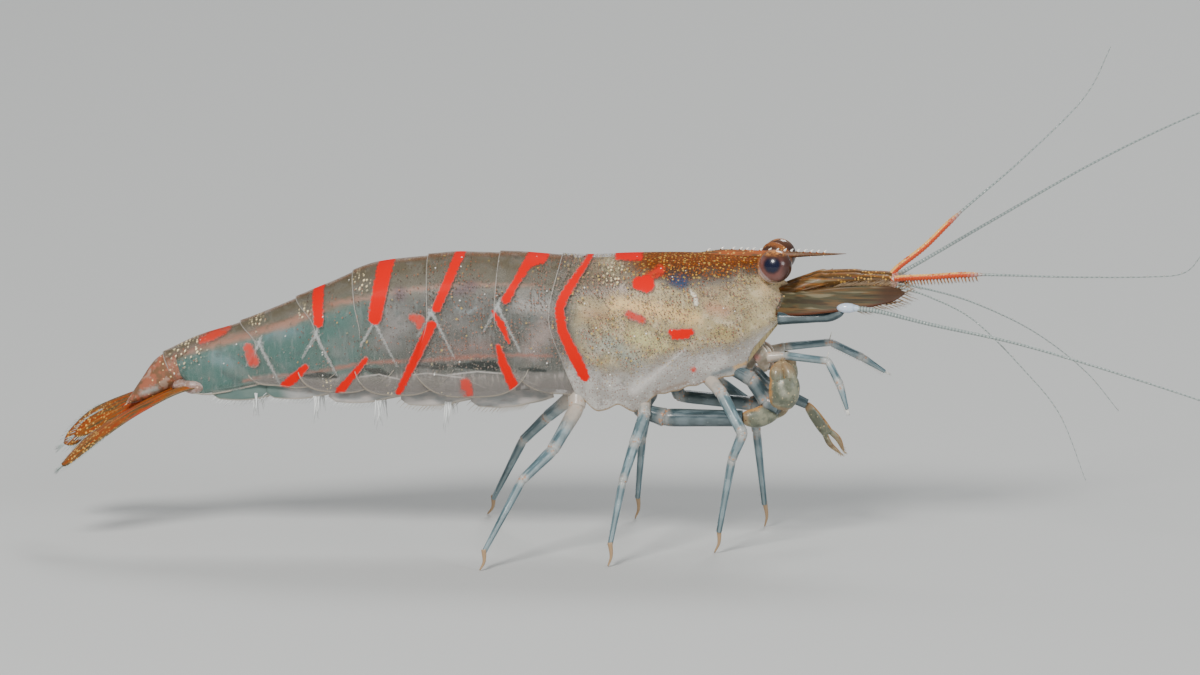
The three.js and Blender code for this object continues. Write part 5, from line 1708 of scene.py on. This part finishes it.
def build_swimmerets(look):
    """Ten swimmerets, each a stem with two leaves, and their fringe of fine hairs."""
    leaf_skin = leaf_finish(look)
    stem = limb_finish("swimmeret stem", bpy.context.scene.shrimp_limbs, 0.5)
    width = curve((0, 0.34), (0.2, 0.43), (0.6, 0.46), (0.9, 0.4), (1, 0.18))
    fringe = Form()
    dice = random.Random(look.seed)
    for number, (x, spread, rise) in enumerate(SWIMMERETS, start=1):
        for letter, side in SIDES.items():
            form = Form()
            y = side * spread
            top = LOWER_EDGE(x) + rise
            knee = (x + 0.75, y, top - 0.4)
            ankle = (x + 0.1, y + side * 0.1, top - 0.55)
            limb(form, [(x + 1.0, y, top - 0.05), knee, ankle], [0.24, 0.26, 0.2], finish=1)
            for shift, reach, out in SWIMMERET_LEAVES:
                spine = [
                    (x + 0.75, y + side * out * 0.4, top - 0.5 - shift),
                    (x - 0.3 * reach, y + side * out, top - 0.68 - shift),
                    (x - 1.1 * reach, y + side * out, top - 0.84 - shift * 0.6),
                    (x - 2.5 * reach, y + side * out * 0.8, top - 0.9 - shift * 0.4),
                ]
                edges = leaf(form, spine, width, width, (-0.3, 0, 1), 0.08, rows=22, columns=8)
                for place, away, share in edges[0][8:] + edges[1][8:]:  # the rear two thirds
                    way = Vector((-0.9, 0, -0.35)) + away * 0.4
                    patch = (share * 0.9, 0.1 + 0.08 * number)
                    fringe.hair(
                        place, way, dice.uniform(0.25, 0.42), 0.013, (0, 0, -0.15), patch, int(number < 3)
                    )
            name = f"swimmeret_{number}_{letter}"
            form.piece(name, [leaf_skin, stem], "swimmeret", f"pleopod_{number}_{letter}")
    for x in TUFT_PLACES:
        for side in SIDES.values():
            for k in range(4):
                y = side * (HALF_WIDTH(x) * 0.62 + dice.uniform(-0.1, 0.1))
                root = Vector((x + 0.07 * k - 0.1, y, LOWER_EDGE(x) - 0.25))
                way = (dice.uniform(-0.15, 0.25), side * dice.uniform(-0.1, 0.2), -1)
                fringe.hair(root, way, dice.uniform(0.9, 1.3), 0.034, patch=(0.95, 0.5))
    hairs = plain_finish("swimmeret hairs", (0.9, 0.92, 0.9), 0.3)
    wool = plain_finish("swimmeret wool", (0.6, 0.5, 0.38), 0.4)
    fringe.piece("swimmeret_fringe", [hairs, wool], "swimmeret")


def build_blades(look, fringe):
    """The four blades beside the telson, with hairs round their last third and a brush at each tip."""
    fan = fan_finish("tail fan", look)
    root = Paint("tail root", (0.32, 0.19, 0.15), 1.0, 0.45, 0.1, specular=0.35)
    root.lay(root.noise(0.15, 3.0), 0.45, 0.6, (0.46, 0.36, 0.34), 0.8)
    root.speckle(0.12, 0.5, 0.04, (0.85, 0.6, 0.4), 0.8)
    root = root.done()
    dice = random.Random(look.seed + 1)
    for kind, base in TAIL_BLADES.items():
        for letter, side in SIDES.items():
            spine = []
            for x, y, z in base:
                bend = min(max((TAIL_ROOT - x) / TAIL_LENGTH, 0), 1) ** 2
                spine.append((x - TAIL_REACH[letter] * bend, side * y, z - TAIL_DROP[kind][letter] * bend))
            form = Form()
            width, tilt = BLADE_WIDTHS[kind], (0, side, BLADE_TILT[letter])
            edges = leaf(form, spine, width, width, tilt, 0.16, rows=44, columns=16, dish=-0.05)
            outer = kind == "uropod_outer"
            if outer:
                form.ball((-15.25, side * 0.6, 6.28), (0.46, 0.28, 0.3), sides=24, finish=1)
                form.ball((-15.75, side * 0.5, 6.3), (0.34, 0.24, 0.24), sides=20, finish=1)
            form.piece(f"{kind}_blade_{letter}", [fan, root], "tail_fan", f"{kind}_{letter}")
            ahead = (Vector(spine[-1]) - Vector(spine[-2])).normalized()
            for place, out, share in edges[0][30:] + edges[1][30:]:
                for _ in range(5):
                    way = ahead + out * lerp(0.75, 0.15, share**4)
                    spot = place + ahead * dice.uniform(-0.05, 0.05)
                    length = dice.uniform(0.2, 0.4) * share
                    fringe.hair(spot, way, length, 0.012, patch=(share * 0.95, 0.3 if outer else 0.7))
            tip = edges[0][-1][0] - ahead * 0.06
            for _ in range(30):
                way = ahead + Vector((0, dice.uniform(-0.5, 0.5), dice.uniform(-0.3, 0.3)))
                fringe.hair(tip, way, dice.uniform(0.4, 0.65), 0.012, patch=(0.97, 0.9))


def build_telson():
    """The middle of the tail fan, deep at its root, with short spines."""
    telson = Form()
    path = smooth_path([(-15.6, 0, 7.15), (-16.2, 0, 6.86), (-17.1, 0, 6.1), (-18.0, 0, 5.44)], 34)
    wide = sampled(curve((0, 0.66), (0.3, 0.6), (0.7, 0.42), (0.93, 0.24), (1, 0.06)), 34)
    deep = sampled(curve((0, 0.66), (0.25, 0.7), (0.6, 0.48), (0.9, 0.16), (1, 0.04)), 34)
    telson.tube(path, wide, deep, sides=28)
    for side in SIDES.values():
        for x, y, z in ((-16.9, 0.3, 6.9), (-17.3, 0.22, 6.4)):
            telson.hair((x, side * y, z - 0.1), (-1, 0, -0.6), 0.22, 0.03)
        for y in (0.04, 0.1, 0.16):
            telson.hair((-17.92, side * y, 5.5), (-1, side * y, -0.8), 0.34, 0.022)
    paint = Paint("telson", (0.2, 0.1, 0.05), 1.0, 0.4, 0.2, 0.12, specular=0.35)
    paint.lay(paint.noise(0.3, 3.0), 0.42, 0.6, (0.42, 0.13, 0.07), 0.85)
    paint.lay(paint.noise(0.4, 3.0, seed=3), 0.55, 0.66, (0.5, 0.36, 0.28), 0.6)
    blue = [[(-16.75, 6.15, 0.1), (-17.3, 5.95, 0.08)]]
    paint.cover(paint.strokes(blue, 0.16, 0.1), (0.42, 0.5, 0.47), 0.8)
    paint.speckle(0.15, 0.4, 0.04, (0.95, 0.72, 0.34), 0.95, seed=6)
    telson.piece("telson_plate", [paint.done()], "tail_fan", "telson")


def build_tail_fan(look):
    fringe = Form()
    build_blades(look, fringe)
    build_telson()
    fringe.piece("tail_fan_fringe", [plain_finish("fan fringe", (0.5, 0.56, 0.54), 0.4)], "tail_fan")


# ---- stage ----


def add_light(name, place, target, size, power, colour):
    lamp = bpy.data.lights.new(name, "AREA")
    lamp.shape = "DISK"
    lamp.size, lamp.energy, lamp.color = size, power, colour
    made = add_object(name, lamp)
    made.location = place
    made.rotation_euler = (target - place).to_track_quat("-Z", "Y").to_euler()
    made.visible_camera = False


# How far the middle of the view is ahead of and above the body's origin.
VIEW_AHEAD, VIEW_UP = 1.0, 8.22
FLOOR_REACH, FLOOR_SIDES = 6.0, 96  # metres
# Lights: (name, place from the animal's middle, size, power, colour), in metres and watts.
LIGHTS = [
    ("key light", (-0.08, -0.24, 0.2), 0.09, 1.0, (1.0, 0.98, 0.95)),
    ("fill light", (0.24, -0.16, 0.1), 0.12, 0.3, (0.93, 0.97, 1.0)),
    ("back light", (0.05, 0.2, 0.2), 0.1, 0.3, (1, 1, 1)),
]


def build_stage(look):
    """A wide round floor, a camera a long way off, three soft lights and a pale sky."""
    low, high = CAD_BOX
    turns = [2 * math.pi * k / FLOOR_SIDES for k in range(FLOOR_SIDES)]
    mesh = bpy.data.meshes.new("floor")
    rim = [(FLOOR_REACH * math.cos(turn), FLOOR_REACH * math.sin(turn), 0) for turn in turns]
    mesh.from_pydata(rim, [], [tuple(range(FLOOR_SIDES))])
    mesh.materials.append(plain_finish("pale floor", look.floor_colour, 0.85, 0.0))
    ground = add_object("floor", mesh)

    azimuth, level = look.azimuth, math.cos(look.elevation)
    back = Vector((math.sin(azimuth) * level, -math.cos(azimuth) * level, math.sin(look.elevation)))
    right = Vector((math.cos(azimuth), math.sin(azimuth), 0))
    up = back.cross(right)
    middle = ORIGIN + right * (VIEW_AHEAD * MM) + up * (VIEW_UP * MM)
    camera = bpy.data.cameras.new("camera")
    camera.sensor_width = 36.0
    camera.lens = camera.sensor_width * look.distance / look.view_width
    camera.clip_start, camera.clip_end = 0.01, 20.0
    viewer = add_object("camera", camera)
    viewer.location = middle + back * look.distance
    viewer.rotation_mode = "QUATERNION"
    viewer.rotation_quaternion = (-back).to_track_quat("-Z", "Y")
    bpy.context.scene.camera = viewer

    target = Vector(((low.x + high.x) / 2, (low.y + high.y) / 2, high.z / 2))
    for name, place, size, power, colour in LIGHTS:
        add_light(name, target + Vector(place), target, size, power, colour)
    world = bpy.data.worlds.new("studio")
    world.use_nodes = True
    sky = world.node_tree.nodes["Background"]
    sky.inputs["Color"].default_value = (0.9, 0.93, 0.95, 1.0)
    sky.inputs["Strength"].default_value = 0.34
    bpy.context.scene.world = world


# ---- operators and panel ----


class ShrimpOperator(bpy.types.Operator):
    """Base of the operators that make the pieces."""

    bl_options = {"REGISTER", "UNDO"}


class SHRIMP_OT_flesh(ShrimpOperator):
    """Make the flesh that shows through the shell"""

    bl_idname = "shrimp.flesh"
    bl_label = "Flesh"

    def execute(self, context):
        build_flesh(context.scene.shrimp_flesh)
        return {"FINISHED"}


class SHRIMP_OT_plates(ShrimpOperator):
    """Make the carapace and the six abdominal plates"""

    bl_idname = "shrimp.plates"
    bl_label = "Shell plates"

    def execute(self, context):
        for index in range(len(PLATES)):
            build_plate(index, context.scene.shrimp_shell)
        return {"FINISHED"}


class SHRIMP_OT_rostrum(ShrimpOperator):
    """Make the toothed rostrum"""

    bl_idname = "shrimp.rostrum"
    bl_label = "Rostrum"

    def execute(self, context):
        build_rostrum()
        return {"FINISHED"}


class SHRIMP_OT_eyes(ShrimpOperator):
    """Make the eyes and their stalks"""

    bl_idname = "shrimp.eyes"
    bl_label = "Eyes"

    def execute(self, context):
        build_eyes()
        return {"FINISHED"}


class SHRIMP_OT_feeler_bases(ShrimpOperator):
    """Make the peduncles, scales and beads that carry the feelers"""

    bl_idname = "shrimp.feeler_bases"
    bl_label = "Feeler bases"

    def execute(self, context):
        build_antennule_bases()
        build_antenna_bases()
        return {"FINISHED"}


class SHRIMP_OT_feelers(ShrimpOperator):
    """Make the six ringed flagella and their comb of hairs"""

    bl_idname = "shrimp.feelers"
    bl_label = "Feelers"

    def execute(self, context):
        build_feelers(context.scene.shrimp_feelers)
        return {"FINISHED"}


class SHRIMP_OT_mouth(ShrimpOperator):
    """Make the lobes of the mouth"""

    bl_idname = "shrimp.mouth"
    bl_label = "Mouthparts"

    def execute(self, context):
        build_mouth()
        return {"FINISHED"}


class SHRIMP_OT_limbs(ShrimpOperator):
    """Make the maxillipeds, pincer limbs and walking legs"""

    bl_idname = "shrimp.limbs"
    bl_label = "Limbs"

    def execute(self, context):
        look = context.scene.shrimp_limbs
        build_maxillipeds(look)
        build_pincers(look)
        build_legs(look)
        return {"FINISHED"}


class SHRIMP_OT_swimmerets(ShrimpOperator):
    """Make the ten swimmerets and their fringe"""

    bl_idname = "shrimp.swimmerets"
    bl_label = "Swimmerets"

    def execute(self, context):
        build_swimmerets(context.scene.shrimp_tail)
        return {"FINISHED"}


class SHRIMP_OT_tail_fan(ShrimpOperator):
    """Make the telson, the four tail blades and their fringe"""

    bl_idname = "shrimp.tail_fan"
    bl_label = "Tail fan"

    def execute(self, context):
        build_tail_fan(context.scene.shrimp_tail)
        return {"FINISHED"}


class SHRIMP_OT_stage(ShrimpOperator):
    """Make the floor, the lights and the camera"""

    bl_idname = "shrimp.stage"
    bl_label = "Stage"

    def execute(self, context):
        build_stage(context.scene.shrimp_stage)
        return {"FINISHED"}


OPERATORS = [
    SHRIMP_OT_flesh,
    SHRIMP_OT_plates,
    SHRIMP_OT_rostrum,
    SHRIMP_OT_eyes,
    SHRIMP_OT_feeler_bases,
    SHRIMP_OT_feelers,
    SHRIMP_OT_mouth,
    SHRIMP_OT_limbs,
    SHRIMP_OT_swimmerets,
    SHRIMP_OT_tail_fan,
    SHRIMP_OT_stage,
]


class SHRIMP_PT_panel(bpy.types.Panel):
    """Lists the pieces and their settings"""

    bl_label = "Dwarf shrimp"
    bl_space_type = "VIEW_3D"
    bl_region_type = "UI"
    bl_category = "Shrimp"

    def draw(self, context):
        for operator in OPERATORS:
            self.layout.operator(operator.bl_idname)
        for name, group in SETTINGS.items():
            box = self.layout.box()
            for setting in group.__annotations__:
                box.prop(getattr(context.scene, name), setting)


def register():
    for group in (*SETTINGS.values(), *OPERATORS, SHRIMP_PT_panel):
        bpy.utils.register_class(group)
    for name, group in SETTINGS.items():
        setattr(bpy.types.Scene, name, PointerProperty(type=group))


def unregister():
    for name in SETTINGS:
        delattr(bpy.types.Scene, name)
    for group in reversed((*SETTINGS.values(), *OPERATORS, SHRIMP_PT_panel)):
        bpy.utils.unregister_class(group)


def main():
    register()
    for operator in OPERATORS:
        getattr(bpy.ops.shrimp, operator.bl_idname.split(".")[1])()


if __name__ == "__main__":
    main()
